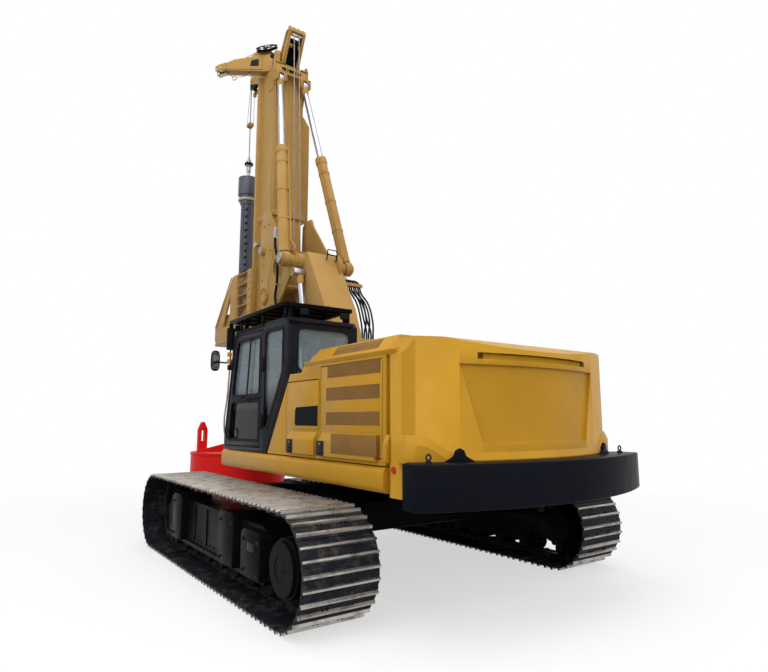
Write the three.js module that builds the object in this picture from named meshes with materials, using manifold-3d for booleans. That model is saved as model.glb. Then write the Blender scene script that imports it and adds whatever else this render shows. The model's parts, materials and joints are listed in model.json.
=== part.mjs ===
// Rotary piling rig: crawler undercarriage, slewing house with cab, support arm with a parallel
// link, raking mast with winches and sheaves, rotary drive, kelly bar and drilling bucket.
// Millimetres, +X forward, +Y left, +Z up. The slew axis is the Z axis while the pieces are
// shaped, and the finished group is set with its box centred over the origin, on the ground.
import * as THREE from 'three';
import { mergeVertices } from 'three/addons/utils/BufferGeometryUtils.js';
import Module from 'manifold-3d';

const wasm = await Module();
wasm.setup();

// Fits
const seatGap = 0.3;
const doorGap = 10;
const runningGap = 8;
const rodGap = 0.4;

// Facets of a full circle, by size of the round piece
const coarse = 12;
const medium = 16;
const fine = 28;

// Undercarriage
const trackLength = 5250;
const trackHeight = 1050;
const shoeWidth = 780;
const overallWidth = 4500;
const shoePitch = 203;
const grouserHeight = 28;
const shoeThickness = 14;
const linkHeight = 84;
const linkWidth = 180;
const linkPinDepth = 44;
const frameHalfWidth = 240;
const frameBottom = 270;
const frameTop = 800;
const rollerRadius = 90;
const rollerCount = 8;
const driveCoverRadius = 190;
const sprocketTeeth = 14;
const ringRadius = 740;
const carbodyTop = 960;
const carbodyHalfWidth = 640;
const carbodyHalfLength = 1300;

// House
const deckBottom = 1125;
const deckTop = 1425;
const deckHalfWidth = 1100;
const houseFront = 1395;
const houseRear = -2660;
const houseHalfWidth = 1450;
const sillHalfWidth = 1485;
const sillBottom = 1180;
const sillTop = 1415;
const bodyTop = 2650;
const shoulderHeight = 2440;
const shoulderInset = 170;
const bodyWall = 40;
const frontDoorFront = -620;
const frontDoorRear = -1420;
const louvreDoorRear = -2610;
const doorBottom = 1480;
const frontDoorTop = 2290;
const louvreDoorTop = 2420;
const hoodFront = -1460;
const hoodRear = -2600;
const hoodHalfWidth = 1080;
const tailRadius = 3300;
const ballastRadius = 3650;
const ballastHalfWidth = 1600;
const ballastBottom = 1100;
const ballastTop = 1480;
const recessDepth = 35;
const slotDepth = 25;
const slotBottom = 2400;
const slotTop = 2460;

// Cab
const cabRight = 450;
const cabWall = 50;
const cabTop = 3110;
const cabDoorThickness = 45;
const glassThickness = 10;
const guardBottom = 3240;
const guardTop = 3290;

// Support arm, link and cradle
const armPivot = { x: 100, z: 1900 };
const armHead = { x: 1330, z: 4420 };
const linkOffset = { x: 550, z: -350 };
const armHalfWidth = 280;
const armFootHalfWidth = 240;
const liftFoot = { x: 700, z: 1600 };
const liftEye = { x: 1230, z: 4200 };
const liftY = 355;
const liftBarrelRadius = 75;
const liftRodRadius = 45;
const liftEyeRadius = 75;
const liftBarrelLength = 1530;
const cradleInside = 400;
const cradlePlate = 40;
const trunnionRadius = 85;
const rakeFoot = { y: 590, z: 4420 };
const rakeEye = { x: 2400, y: 250, z: 8230 };
const rakeBarrelRadius = 95;
const rakeRodRadius = 55;
const rakeBarrelLength = 2300;
const rakeEyeHalf = 55;
const rakeEyeRadius = 125;

// Mast
const mastPivot = { x: 2500, z: 4850 };
const mastRear = 2500;
const mastFront = 3200;
const mastHalfWidth = 290;
const mastWall = 25;
const railHalfWidth = 360;
const railThickness = 80;
const mastFoot = 1150;
const mastHeadBottom = 8580;
const headTop = 9000;
const mastJoint = 5600;
const winchX = 2150;
const mainWinchZ = 2400;
const auxWinchZ = 1650;
const drumFlangeRadius = 270;
const drumHalfWidth = 220;
const sheaveRadius = 200;
const sheaveHeight = 9180;
const ropeRadius = 12;
const grooveDepth = 32;

// Drilling gear
const kellyX = 4420;
const kellyRadius = 135;
const kellyTop = 7000;
const carriageBottom = 3350;
const carriageTop = 4670;
const carriageFront = 4860;
const sleeveRadius = 200;
const sleeveBottom = 2900;
const tableThickness = 70;
const gearboxRadius = 380;
const gearboxTop = 3960;
const bucketRadius = 930;
const bucketWall = 20;
const bucketBottom = 300;
const bucketTop = 1210;
const gateThickness = 40;
const kellyBoxTop = 1750;
const towerPlace = { x: 420, y: 620 };
const towerTop = 1790;

// ---------------------------------------------------------------- shape helpers

function solidOf(geometry) {
  const bare = geometry.index ? geometry.toNonIndexed() : geometry.clone();
  bare.deleteAttribute('normal');
  bare.deleteAttribute('uv');
  const merged = mergeVertices(bare, 1e-3);
  const mesh = new wasm.Mesh({
    numProp: 3,
    vertProperties: new Float32Array(merged.attributes.position.array),
    triVerts: new Uint32Array(merged.index.array),
  });
  return new wasm.Manifold(mesh);
}

function geometryOf(solid) {
  const mesh = solid.getMesh();
  const geometry = new THREE.BufferGeometry();
  geometry.setAttribute('position', new THREE.BufferAttribute(mesh.vertProperties, 3));
  geometry.setIndex(new THREE.BufferAttribute(mesh.triVerts, 1));
  return geometry;
}

function join(...solids) {
  return solids.reduce((whole, next) => whole.add(next));
}

function cut(body, ...tools) {
  return tools.reduce((whole, next) => whole.subtract(next), body);
}

function box(x0, x1, y0, y1, z0, z1) {
  const geometry = new THREE.BoxGeometry(x1 - x0, y1 - y0, z1 - z0);
  geometry.translate((x0 + x1) / 2, (y0 + y1) / 2, (z0 + z1) / 2);
  return solidOf(geometry);
}

function shapeOf(points, holes = []) {
  const shape = new THREE.Shape(points.map(([a, b]) => new THREE.Vector2(a, b)));
  for (const hole of holes) {
    shape.holes.push(new THREE.Path(hole.map(([a, b]) => new THREE.Vector2(a, b))));
  }
  return shape;
}

function extruded(points, depth, holes) {
  const settings = { depth, bevelEnabled: false, curveSegments: 1 };
  return new THREE.ExtrudeGeometry(shapeOf(points, holes), settings);
}

// An outline in X and Z, drawn out from y0 to y1
function slabY(points, y0, y1, holes) {
  const geometry = extruded(points, y1 - y0, holes);
  geometry.rotateX(Math.PI / 2);
  geometry.translate(0, y1, 0);
  return solidOf(geometry);
}

// An outline in X and Y, drawn up from z0 to z1
function slabZ(points, z0, z1, holes) {
  const geometry = extruded(points, z1 - z0, holes);
  geometry.translate(0, 0, z0);
  return solidOf(geometry);
}

// An outline in Y and Z, drawn out from x0 to x1
function slabX(points, x0, x1, holes) {
  const geometry = extruded(points, x1 - x0, holes);
  const turn = new THREE.Matrix4().makeBasis(
    new THREE.Vector3(0, 1, 0),
    new THREE.Vector3(0, 0, 1),
    new THREE.Vector3(1, 0, 0),
  );
  geometry.applyMatrix4(turn);
  geometry.translate(x0, 0, 0);
  return solidOf(geometry);
}

// A round bar between two points, given as [x, y, z]
function bar(start, end, radius, facets = coarse) {
  const from = new THREE.Vector3(...start);
  const to = new THREE.Vector3(...end);
  const geometry = new THREE.CylinderGeometry(radius, radius, from.distanceTo(to), facets);
  const way = to.clone().sub(from).normalize();
  const turn = new THREE.Quaternion().setFromUnitVectors(new THREE.Vector3(0, 1, 0), way);
  geometry.applyQuaternion(turn);
  const middle = from.add(to).multiplyScalar(0.5);
  geometry.translate(middle.x, middle.y, middle.z);
  return solidOf(geometry);
}

function barY(x, z, y0, y1, radius, facets = coarse) {
  return bar([x, y0, z], [x, y1, z], radius, facets);
}

function barZ(x, y, z0, z1, radius, facets = medium) {
  return bar([x, y, z0], [x, y, z1], radius, facets);
}

// Radius of a faceted bore whose flats clear a round bar that turns in it
function boreFor(radius, facets, gap = seatGap) {
  return radius / Math.cos(Math.PI / facets) + gap;
}

// A turned piece: a closed profile of [radius, height], spun about Z
function turned(profile, facets, x, y) {
  const points = profile.map(([r, z]) => new THREE.Vector2(r, z));
  const geometry = new THREE.LatheGeometry(points, facets);
  geometry.rotateX(Math.PI / 2);
  geometry.translate(x, y, 0);
  return solidOf(geometry);
}

// The same about an axis along Y, centred at x, z; profile of [radius, y]
function turnedY(profile, facets, x, z) {
  const points = profile.map(([r, y]) => new THREE.Vector2(r, y));
  const geometry = new THREE.LatheGeometry(points, facets);
  geometry.translate(x, 0, z);
  return solidOf(geometry);
}

// A pipe of round section along a chain of points
function pipe(points, radius, facets = 8) {
  const corners = points.map((point) => new THREE.Vector3(...point));
  const path = new THREE.CatmullRomCurve3(corners, false, 'centripetal');
  const ring = [];
  for (let i = 0; i < facets; i += 1) {
    const angle = (2 * Math.PI * i) / facets;
    ring.push([radius * Math.cos(angle), radius * Math.sin(angle)]);
  }
  const settings = { steps: (points.length - 1) * 2, extrudePath: path, bevelEnabled: false };
  return solidOf(new THREE.ExtrudeGeometry(shapeOf(ring), settings));
}

function arc(cx, cy, radius, from, to, steps) {
  const points = [];
  for (let i = 0; i <= steps; i += 1) {
    const angle = THREE.MathUtils.degToRad(from + ((to - from) * i) / steps);
    points.push([cx + radius * Math.cos(angle), cy + radius * Math.sin(angle)]);
  }
  return points;
}

// A closed outline, given anticlockwise, with every side moved inwards
function inset(points, distance) {
  const count = points.length;
  return points.map((point, i) => {
    const before = points[(i + count - 1) % count];
    const after = points[(i + 1) % count];
    const a = new THREE.Vector2(point[0] - before[0], point[1] - before[1]).normalize();
    const b = new THREE.Vector2(after[0] - point[0], after[1] - point[1]).normalize();
    const spread = 1 + a.dot(b);
    const x = point[0] + ((-a.y - b.y) * distance) / spread;
    const y = point[1] + ((a.x + b.x) * distance) / spread;
    return [x, y];
  });
}

function mirrored(solid) {
  const mesh = solid.getMesh();
  const vertices = mesh.vertProperties.slice();
  const triangles = mesh.triVerts.slice();
  for (let i = 1; i < vertices.length; i += 3) {
    vertices[i] = -vertices[i];
  }
  for (let i = 0; i < triangles.length; i += 3) {
    [triangles[i + 1], triangles[i + 2]] = [triangles[i + 2], triangles[i + 1]];
  }
  const flipped = new wasm.Mesh({ numProp: 3, vertProperties: vertices, triVerts: triangles });
  return new wasm.Manifold(flipped);
}

function bothSides(solid) {
  return solid.add(mirrored(solid));
}

// ---------------------------------------------------------------- scene helpers

const looks = {
  bodyYellow: new THREE.MeshStandardMaterial({ color: 0xd29a2e, roughness: 0.4 }),
  mastYellow: new THREE.MeshStandardMaterial({ color: 0xc39a55, roughness: 0.5 }),
  black: new THREE.MeshStandardMaterial({ color: 0x16171b, roughness: 0.5 }),
  trackSteel: new THREE.MeshStandardMaterial({ color: 0x3a3b40, roughness: 0.6, metalness: 0.6 }),
  cabGrey: new THREE.MeshStandardMaterial({ color: 0x3b3e48, roughness: 0.5 }),
  louvre: new THREE.MeshStandardMaterial({ color: 0x8f6a3a, roughness: 0.7 }),
  glass: new THREE.MeshStandardMaterial({ color: 0x6f8a96, roughness: 0.1 }),
  chrome: new THREE.MeshStandardMaterial({ color: 0xd8dae2, roughness: 0.15, metalness: 1 }),
  kellyGrey: new THREE.MeshStandardMaterial({ color: 0x4f5666, roughness: 0.5, metalness: 0.4 }),
  red: new THREE.MeshStandardMaterial({ color: 0xc62222, roughness: 0.45 }),
  rubber: new THREE.MeshStandardMaterial({ color: 0x1b1b20, roughness: 0.8 }),
  seatCloth: new THREE.MeshStandardMaterial({ color: 0x2c2d33, roughness: 0.9 }),
};

function pivotGroup(parent, x, y, z) {
  const group = new THREE.Group();
  const base = parent.userData.place ?? new THREE.Vector3();
  group.userData.place = new THREE.Vector3(x, y, z);
  group.position.copy(group.userData.place).sub(base);
  parent.add(group);
  return group;
}

function addPiece(group, name, solid, look) {
  const geometry = geometryOf(solid);
  const place = group.userData.place;
  geometry.translate(-place.x, -place.y, -place.z);
  geometry.computeVertexNormals();
  const mesh = new THREE.Mesh(geometry, look);
  mesh.name = name;
  group.add(mesh);
}

// ---------------------------------------------------------------- undercarriage

const wheelX = (trackLength - trackHeight) / 2;
const axleZ = trackHeight / 2;
const trackMiddle = overallWidth / 2 - shoeWidth / 2;
const shoeTopRadius = axleZ - grouserHeight;
const linkOuterRadius = shoeTopRadius - shoeThickness;
const linkInnerRadius = linkOuterRadius - linkHeight;
const pinRadius = linkOuterRadius - linkPinDepth;
const wheelRadius = linkInnerRadius - runningGap;

// Position and outward direction at a length along the loop through the link pins
function loopFrame(length) {
  const straight = 2 * wheelX;
  const bend = Math.PI * pinRadius;
  let rest = length % (2 * (straight + bend));
  if (rest < straight) {
    return { x: -wheelX + rest, z: axleZ + pinRadius, angle: 90 };
  }
  rest -= straight;
  if (rest < bend) {
    const angle = 90 - (180 * rest) / bend;
    const turn = THREE.MathUtils.degToRad(angle);
    return { x: wheelX + pinRadius * Math.cos(turn), z: axleZ + pinRadius * Math.sin(turn), angle };
  }
  rest -= bend;
  if (rest < straight) {
    return { x: wheelX - rest, z: axleZ - pinRadius, angle: -90 };
  }
  rest -= straight;
  const angle = -90 - (180 * rest) / bend;
  const turn = THREE.MathUtils.degToRad(angle);
  return { x: -wheelX + pinRadius * Math.cos(turn), z: axleZ + pinRadius * Math.sin(turn), angle };
}

// Outline of the shoes, each a flat plate with one grouser bar
function shoeOutline() {
  const loopLength = 4 * wheelX + 2 * Math.PI * pinRadius;
  const count = Math.round(loopLength / shoePitch);
  const plate = shoeTopRadius - pinRadius;
  const tip = plate + grouserHeight;
  const half = shoePitch / 2 - 8;
  const section = [[-half, plate], [-20, plate], [-9, tip], [9, tip], [20, plate], [half, plate]];
  const points = [];
  for (let i = 0; i < count; i += 1) {
    const frame = loopFrame(((i + 0.5) * loopLength) / count);
    const turn = THREE.MathUtils.degToRad(frame.angle);
    for (const [along, out] of section) {
      const x = frame.x + out * Math.cos(turn) + along * Math.sin(turn);
      const z = frame.z + out * Math.sin(turn) - along * Math.cos(turn);
      points.push([x, z]);
    }
  }
  return points.reverse();
}

function stadium(radius, steps = 10) {
  return [
    ...arc(wheelX, axleZ, radius, -90, 90, steps),
    ...arc(-wheelX, axleZ, radius, 90, 270, steps),
  ];
}

function trackLoop() {
  const inside = stadium(linkOuterRadius).reverse();
  const inner = trackMiddle - shoeWidth / 2;
  const shoes = slabY(shoeOutline(), inner, inner + shoeWidth, [inside]);
  const linkHole = stadium(linkInnerRadius).reverse();
  const y0 = trackMiddle - linkWidth / 2;
  const links = slabY(stadium(linkOuterRadius + 1), y0, y0 + linkWidth, [linkHole]);
  return join(shoes, links);
}

function sprocket() {
  const teeth = [];
  for (let i = 0; i < sprocketTeeth; i += 1) {
    const middle = (360 * i) / sprocketTeeth;
    const root = wheelRadius - 45;
    for (const [turn, radius] of [[-9, root], [-4, wheelRadius], [4, wheelRadius], [9, root]]) {
      const angle = THREE.MathUtils.degToRad(middle + turn);
      teeth.push([-wheelX + radius * Math.cos(angle), axleZ + radius * Math.sin(angle)]);
    }
  }
  const coverFace = overallWidth / 2 - 50;
  return join(
    slabY(teeth, trackMiddle - 30, trackMiddle + 30),
    barY(-wheelX, axleZ, trackMiddle - 60, coverFace - 30, driveCoverRadius + 25, medium),
    barY(-wheelX, axleZ, coverFace - 40, coverFace, driveCoverRadius, medium),
  );
}

function idler() {
  const rim = trackMiddle;
  return turnedY([
    [0, rim - 90], [95, rim - 90], [95, rim - 30], [wheelRadius - 60, rim - 30],
    [wheelRadius - 60, rim - 80], [wheelRadius, rim - 80], [wheelRadius, rim + 80],
    [wheelRadius - 60, rim + 80], [wheelRadius - 60, rim + 30], [95, rim + 30], [95, rim + 90],
    [0, rim + 90],
  ], medium, wheelX, axleZ);
}

function trackFrame() {
  const y0 = trackMiddle - frameHalfWidth;
  const y1 = trackMiddle + frameHalfWidth;
  const idlerClear = wheelX - wheelRadius - 2 * runningGap;
  const sprocketClear = -wheelX + driveCoverRadius + 240;
  const rail = slabY([
    [sprocketClear, frameBottom + 60], [sprocketClear + 60, frameBottom], [idlerClear - 60, frameBottom],
    [idlerClear, frameBottom + 80], [idlerClear, 640], [idlerClear - 160, frameTop],
    [sprocketClear + 180, frameTop], [sprocketClear, 720],
  ], y0, y1);
  const foot = box(sprocketClear + 40, idlerClear - 40, y0, y1 + 40, frameBottom - 2, frameBottom + 40);
  const pieces = [rail, foot];
  const housings = [[820, 1200, 870], [-960, -520, 860], [-1640, -1180, 760]];
  for (const [x0, x1, top] of housings) {
    const section = [
      [x0, frameBottom + 38], [x1, frameBottom + 38], [x1, top - 50], [x1 - 50, top],
      [x0 + 50, top], [x0, top - 50],
    ];
    pieces.push(slabY(section, trackMiddle - 60, trackMiddle + 340));
  }
  const span = (idlerClear - sprocketClear - 320) / (rollerCount - 1);
  for (let i = 0; i < rollerCount; i += 1) {
    const x = sprocketClear + 160 + i * span;
    const z = axleZ - linkInnerRadius + seatGap + rollerRadius;
    pieces.push(barY(x, z, y0 + 60, y1 - 60, rollerRadius, coarse));
    pieces.push(box(x - 50, x + 50, y0 + 80, y1 - 80, z, frameBottom + 20));
  }
  // drive housing inboard of the sprocket, carried on the frame's rear plate
  const inboard = trackMiddle - 60 - seatGap;
  pieces.push(barY(-wheelX, axleZ, y0 - 60, inboard, driveCoverRadius + 25, medium));
  pieces.push(box(-wheelX, sprocketClear + 20, y0, inboard - 60, axleZ - 130, axleZ + 130));
  // idler fork
  for (const [fork0, fork1] of [[-150, -90 - seatGap], [90 + seatGap, 150]]) {
    const near = trackMiddle + fork0;
    const far = trackMiddle + fork1;
    pieces.push(box(idlerClear - 20, wheelX + 90, near, far, axleZ - 80, axleZ + 80));
  }
  return join(...pieces);
}

function carbody() {
  const frameSide = trackMiddle - frameHalfWidth - seatGap;
  const core = slabX([
    [-carbodyHalfWidth, 600], [-carbodyHalfWidth + 80, 560], [carbodyHalfWidth - 80, 560],
    [carbodyHalfWidth, 600], [carbodyHalfWidth, carbodyTop - 60], [carbodyHalfWidth - 60, carbodyTop],
    [-carbodyHalfWidth + 60, carbodyTop], [-carbodyHalfWidth, carbodyTop - 60],
  ], -carbodyHalfLength + 150, carbodyHalfLength - 150);
  const pieces = [core];
  for (const middle of [-carbodyHalfLength + 200, carbodyHalfLength - 200]) {
    pieces.push(box(middle - 190, middle + 190, -frameSide + 420, frameSide - 420, 620, 900));
    pieces.push(box(middle - 170, middle + 170, -frameSide, frameSide, 560, 780));
  }
  return join(...pieces, slewRing());
}

function slewRing() {
  return join(
    barZ(0, 0, carbodyTop - 20, carbodyTop + 70, ringRadius + 60, fine),
    barZ(0, 0, carbodyTop + 60, deckBottom - seatGap, ringRadius, fine),
  );
}

// ---------------------------------------------------------------- house structure

const linkPivot = { x: armPivot.x + linkOffset.x, z: armPivot.z + linkOffset.z };
const linkHead = { x: armHead.x + linkOffset.x, z: armHead.z + linkOffset.z };
const liftHalf = 40;
const lugSide = armFootHalfWidth + 14;

function houseFrame() {
  const deck = box(houseRear, houseFront, -deckHalfWidth, deckHalfWidth, deckBottom, deckTop);
  const web = slabY([
    [armPivot.x - 170, deckTop - 5], [liftFoot.x + 220, deckTop - 5], [liftFoot.x + 110, liftFoot.z],
    [liftFoot.x + 40, liftFoot.z + 100], [liftFoot.x - 80, liftFoot.z + 95], [armPivot.x + 190, armPivot.z],
    [armPivot.x + 120, armPivot.z + 150], [armPivot.x - 120, armPivot.z + 150],
    [armPivot.x - 190, armPivot.z],
  ], lugSide, liftY - liftHalf - seatGap);
  const boss = barY(armPivot.x, armPivot.z, armFootHalfWidth + seatGap, lugSide + 5, 120, medium);
  const linkBoss = slabY([
    [linkPivot.x - 120, deckTop - 5], [linkPivot.x + 120, deckTop - 5],
    [linkPivot.x + 90, linkPivot.z], [linkPivot.x + 30, linkPivot.z + 85],
    [linkPivot.x - 30, linkPivot.z + 85], [linkPivot.x - 90, linkPivot.z],
  ], 120 + seatGap, 165);
  const outerLug = slabY([
    [liftFoot.x - 150, deckTop - 5], [liftFoot.x + 150, deckTop - 5],
    [liftFoot.x + 90, liftFoot.z + 40], [liftFoot.x + 40, liftFoot.z + 90],
    [liftFoot.x - 40, liftFoot.z + 90], [liftFoot.x - 90, liftFoot.z + 40],
  ], liftY + liftHalf + seatGap, liftY + liftHalf + 40);
  return join(deck, bothSides(web), bothSides(boss), bothSides(linkBoss), bothSides(outerLug));
}

function sill() {
  const edge = 60;
  const section = [
    [deckHalfWidth + seatGap, sillBottom],
    ...arc(sillHalfWidth - edge, sillBottom + edge, edge, -90, 0, 4),
    ...arc(sillHalfWidth - edge, sillTop - edge, edge, 0, 90, 4),
    [deckHalfWidth + seatGap, sillTop],
  ];
  return slabX(section, houseRear, houseFront);
}

const slantFoot = { x: -110, z: deckTop + seatGap };
const slantTop = { x: -700, z: 2380 };
const riseFoot = -990;
const riseTop = -1130;

// Side outline of the body from the slanted front to the rear
function bodySide(front = 0) {
  return [
    [houseRear, slantFoot.z], [slantFoot.x + front, slantFoot.z], [slantTop.x + front, slantTop.z],
    [riseFoot, slantTop.z], [riseTop, bodyTop], [houseRear, bodyTop],
  ];
}

function shoulders(side, top, shoulder, chamfer) {
  return [
    [-side, 1000], [side, 1000], [side, shoulder], [side - chamfer, top + 1], [-side + chamfer, top + 1],
    [-side, shoulder],
  ];
}

function pinFor(x, y, z0, z1) {
  return barZ(x, y, z0, z1, 7, 8);
}

const hingeInset = 10;

// A door plate in a side wall, with its pivot pins at the rear edge
function sideDoor(front, rear, bottom, top, side) {
  const outer = houseHalfWidth;
  const inner = outer - bodyWall;
  const plate = box(rear + doorGap, front - doorGap, inner, outer, bottom + doorGap, top - doorGap);
  const x = rear + doorGap + hingeInset;
  const y = outer - hingeInset;
  const pins = join(
    pinFor(x, y, bottom + seatGap, bottom + doorGap + 20),
    pinFor(x, y, top - doorGap - 20, top - seatGap),
  );
  const door = join(plate, pins);
  return side > 0 ? door : mirrored(door);
}

function doorOpening(front, rear, bottom, top, side) {
  const y = side * (houseHalfWidth - bodyWall / 2);
  return box(rear, front, y - bodyWall, y + bodyWall, bottom, top);
}

function rearHousing() {
  const outside = shoulders(houseHalfWidth, bodyTop, shoulderHeight, shoulderInset);
  const inside = shoulders(houseHalfWidth - bodyWall, bodyTop - bodyWall, shoulderHeight - 16, shoulderInset);
  const shell = slabY(bodySide(), -houseHalfWidth, houseHalfWidth);
  const outer = shell.intersect(slabX(outside, houseRear - 10, 0));
  const hollowSide = [
    [houseRear + bodyWall, 1000], [slantFoot.x - 120, 1000], [slantFoot.x - 60, slantFoot.z],
    [slantTop.x - 20, slantTop.z - bodyWall], [riseFoot - 25, slantTop.z - bodyWall],
    [riseTop - 25, bodyTop - bodyWall], [houseRear + bodyWall, bodyTop - bodyWall],
  ];
  const hollow = slabY(hollowSide, -houseHalfWidth, houseHalfWidth).intersect(slabX(inside, houseRear, 0));
  const hatch = box(hoodRear, hoodFront, -hoodHalfWidth, hoodHalfWidth, bodyTop - 2 * bodyWall, bodyTop + 10);
  return cut(
    outer,
    hollow,
    hatch,
    doorOpening(frontDoorFront, frontDoorRear, doorBottom, frontDoorTop, 1),
    doorOpening(frontDoorRear - 20, louvreDoorRear, doorBottom, louvreDoorTop, 1),
    doorOpening(frontDoorRear, louvreDoorRear, doorBottom, louvreDoorTop, -1),
  );
}

function engineHood() {
  const x1 = hoodFront - doorGap;
  const half = hoodHalfWidth - doorGap;
  const plate = box(hoodRear + doorGap, x1, -half, half, bodyTop - bodyWall, bodyTop);
  const z = bodyTop - hingeInset;
  const pins = join(
    bar([x1 - hingeInset, half - 20, z], [x1 - hingeInset, hoodHalfWidth - seatGap, z], 7, 8),
    bar([x1 - hingeInset, -half + 20, z], [x1 - hingeInset, -hoodHalfWidth + seatGap, z], 7, 8),
  );
  return join(plate, pins);
}

function tailPlan(radius, halfWidth, front, steps = 12) {
  const reach = THREE.MathUtils.radToDeg(Math.asin(halfWidth / radius));
  return [[front, halfWidth], ...arc(0, 0, radius, 180 - reach, 180 + reach, steps), [front, -halfWidth]];
}

function counterweight() {
  const plan = tailPlan(tailRadius, houseHalfWidth, houseRear - seatGap);
  const block = slabZ(plan, deckBottom + 30, bodyTop - 60);
  const chamfer = shoulderInset * 0.7;
  const section = [
    [-houseHalfWidth, 1000], [houseHalfWidth, 1000], [houseHalfWidth, shoulderHeight],
    [houseHalfWidth - chamfer, bodyTop], [-houseHalfWidth + chamfer, bodyTop],
    [-houseHalfWidth, shoulderHeight],
  ];
  const profile = [
    [houseRear + 10, 1000], [houseRear + 10, bodyTop], [houseRear - 300, bodyTop],
    [-tailRadius - 10, bodyTop - 150], [-tailRadius - 10, 1000],
  ];
  const shaped = block
    .intersect(slabX(section, -tailRadius - 10, houseRear))
    .intersect(slabY(profile, -houseHalfWidth - 10, houseHalfWidth + 10));
  const band = slabZ([
    ...arc(0, 0, tailRadius - recessDepth, 155, 205, 10),
    ...arc(0, 0, tailRadius + 40, 205, 155, 10),
  ], 1000, bodyTop);
  const slot = slabZ([
    ...arc(0, 0, tailRadius - slotDepth, 166, 194, 8),
    ...arc(0, 0, tailRadius + 40, 194, 166, 8),
  ], slotBottom, slotTop);
  const field = slabX([[-760, 1620], [760, 1620], [980, 2350], [-980, 2350]], -tailRadius - 50, -2900);
  return cut(shaped, band.intersect(field), slot);
}

function rearBallast() {
  const inner = tailRadius + seatGap;
  const innerReach = THREE.MathUtils.radToDeg(Math.asin(houseHalfWidth / tailRadius));
  const outerReach = THREE.MathUtils.radToDeg(Math.asin(ballastHalfWidth / ballastRadius));
  const plan = [
    ...arc(0, 0, ballastRadius, 180 - outerReach, 180 + outerReach, 14),
    [-tailRadius * 0.93, -ballastHalfWidth + 20],
    ...arc(0, 0, inner, 180 + innerReach, 180 - innerReach, 12),
    [-tailRadius * 0.93, ballastHalfWidth - 20],
  ];
  return slabZ(plan.reverse(), ballastBottom, ballastTop);
}

function tankHousing() {
  const lean = 18;
  const base = slantFoot.z;
  const slope = (slantTop.x - slantFoot.x) / (slantTop.z - slantFoot.z);
  const top = 2260;
  return slabY([
    [slantFoot.x + lean, base], [houseFront - 30, base], [houseFront - 30, 1700], [houseFront - 80, 1760],
    [880, 1760], [880, top - 60], [820, top], [slantFoot.x + lean + slope * (top - base), top],
  ], -houseHalfWidth, -cabRight - 30);
}

function engineBlock() {
  const lowest = deckTop + seatGap;
  return join(
    box(-2480, -1560, -420, 420, lowest, 2180),
    box(-2380, -1700, -300, 300, 2170, 2360),
  );
}

// ---------------------------------------------------------------- cab

const cabFrontFoot = { x: houseFront, z: deckTop + seatGap };
const cabFrontTop = { x: 1095, z: cabTop };

const cabSide = [
  [slantFoot.x + 25, deckTop + seatGap], [cabFrontFoot.x, cabFrontFoot.z], [cabFrontFoot.x + 10, 1600],
  [cabFrontTop.x + 40, cabTop - 90], [cabFrontTop.x - 40, cabTop], [-560, cabTop], [-630, cabTop - 70],
  [-630, 2298],
];
const cabDoorOutline = [
  [110, 1475], [cabFrontFoot.x - 85, 1475], [cabFrontFoot.x - 75, 1600], [cabFrontTop.x - 15, 2900],
  [cabFrontTop.x - 55, 2990], [cabFrontTop.x - 130, 3040], [110, 3040],
];
const quarterWindow = [[-70, 1720], [50, 1720], [50, 3000], [-500, 3000], [-500, 2420]];
const rearWindow = [[560, 2420], [1340, 2420], [1340, 2990], [560, 2990]];
const rightWindow = [
  [-480, 2420], [-60, 1980], [cabFrontFoot.x - 180, 1980], [cabFrontTop.x - 60, 2980], [-480, 2980],
];
const frontWindow = [[530, 1560], [1370, 1560], [1370, 2950], [530, 2950]];

function cabShell() {
  const y0 = cabRight;
  const y1 = houseHalfWidth;
  const outer = slabY(cabSide, y0, y1);
  const hollow = slabY(inset(cabSide, cabWall), y0 + cabWall, y1 - cabWall);
  return cut(
    outer,
    hollow,
    slabY(cabDoorOutline, y1 - 2 * cabWall, y1 + 10),
    slabY(quarterWindow, y1 - 2 * cabWall, y1 + 10),
    slabY(rightWindow, y0 - 10, y0 + 2 * cabWall),
    slabX(rearWindow, -700, -630 + 2 * cabWall),
    slabX(frontWindow, cabFrontTop.x - 90, cabFrontFoot.x + 100),
  );
}

// A pane that fills an opening in a wall of the cab
function paneY(outline, middle) {
  return slabY(inset(outline, seatGap), middle - glassThickness / 2, middle + glassThickness / 2);
}

// Outside of the leaning cab front at a height
function cabFace(z) {
  const [knee, brow] = [cabSide[2], cabSide[3]];
  return knee[0] + ((brow[0] - knee[0]) * (z - knee[1])) / (brow[1] - knee[1]);
}

function windshield() {
  const place = (z) => cabFace(z) - cabWall / 2;
  const half = glassThickness / 2;
  const lowest = frontWindow[0][1] + seatGap;
  const highest = frontWindow[2][1] - seatGap;
  return slabY([
    [place(lowest) - half, lowest], [place(lowest) + half, lowest],
    [place(highest) + half, highest], [place(highest) - half, highest],
  ], frontWindow[0][0] + seatGap, frontWindow[1][0] - seatGap);
}

function rearGlass() {
  const middle = -630 + cabWall / 2;
  return slabX(inset(rearWindow, seatGap), middle - glassThickness / 2, middle + glassThickness / 2);
}

const cabHinge = { x: 110 + doorGap + hingeInset, y: houseHalfWidth - hingeInset };
const doorPanes = [
  [
    [190, 2170], [cabFrontFoot.x - 250, 2170], [cabFrontTop.x - 90, 2870], [cabFrontTop.x - 130, 2950],
    [190, 2960],
  ],
  [[190, 1560], [cabFrontFoot.x - 160, 1560], [cabFrontFoot.x - 235, 2090], [190, 2090]],
];
const doorPocket = [
  [170, 1540], [cabFrontFoot.x - 135, 1540], [cabFrontTop.x - 75, 2890], [cabFrontTop.x - 125, 2975],
  [170, 2980],
];
const pocketDepth = glassThickness + 2 * seatGap;

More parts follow.
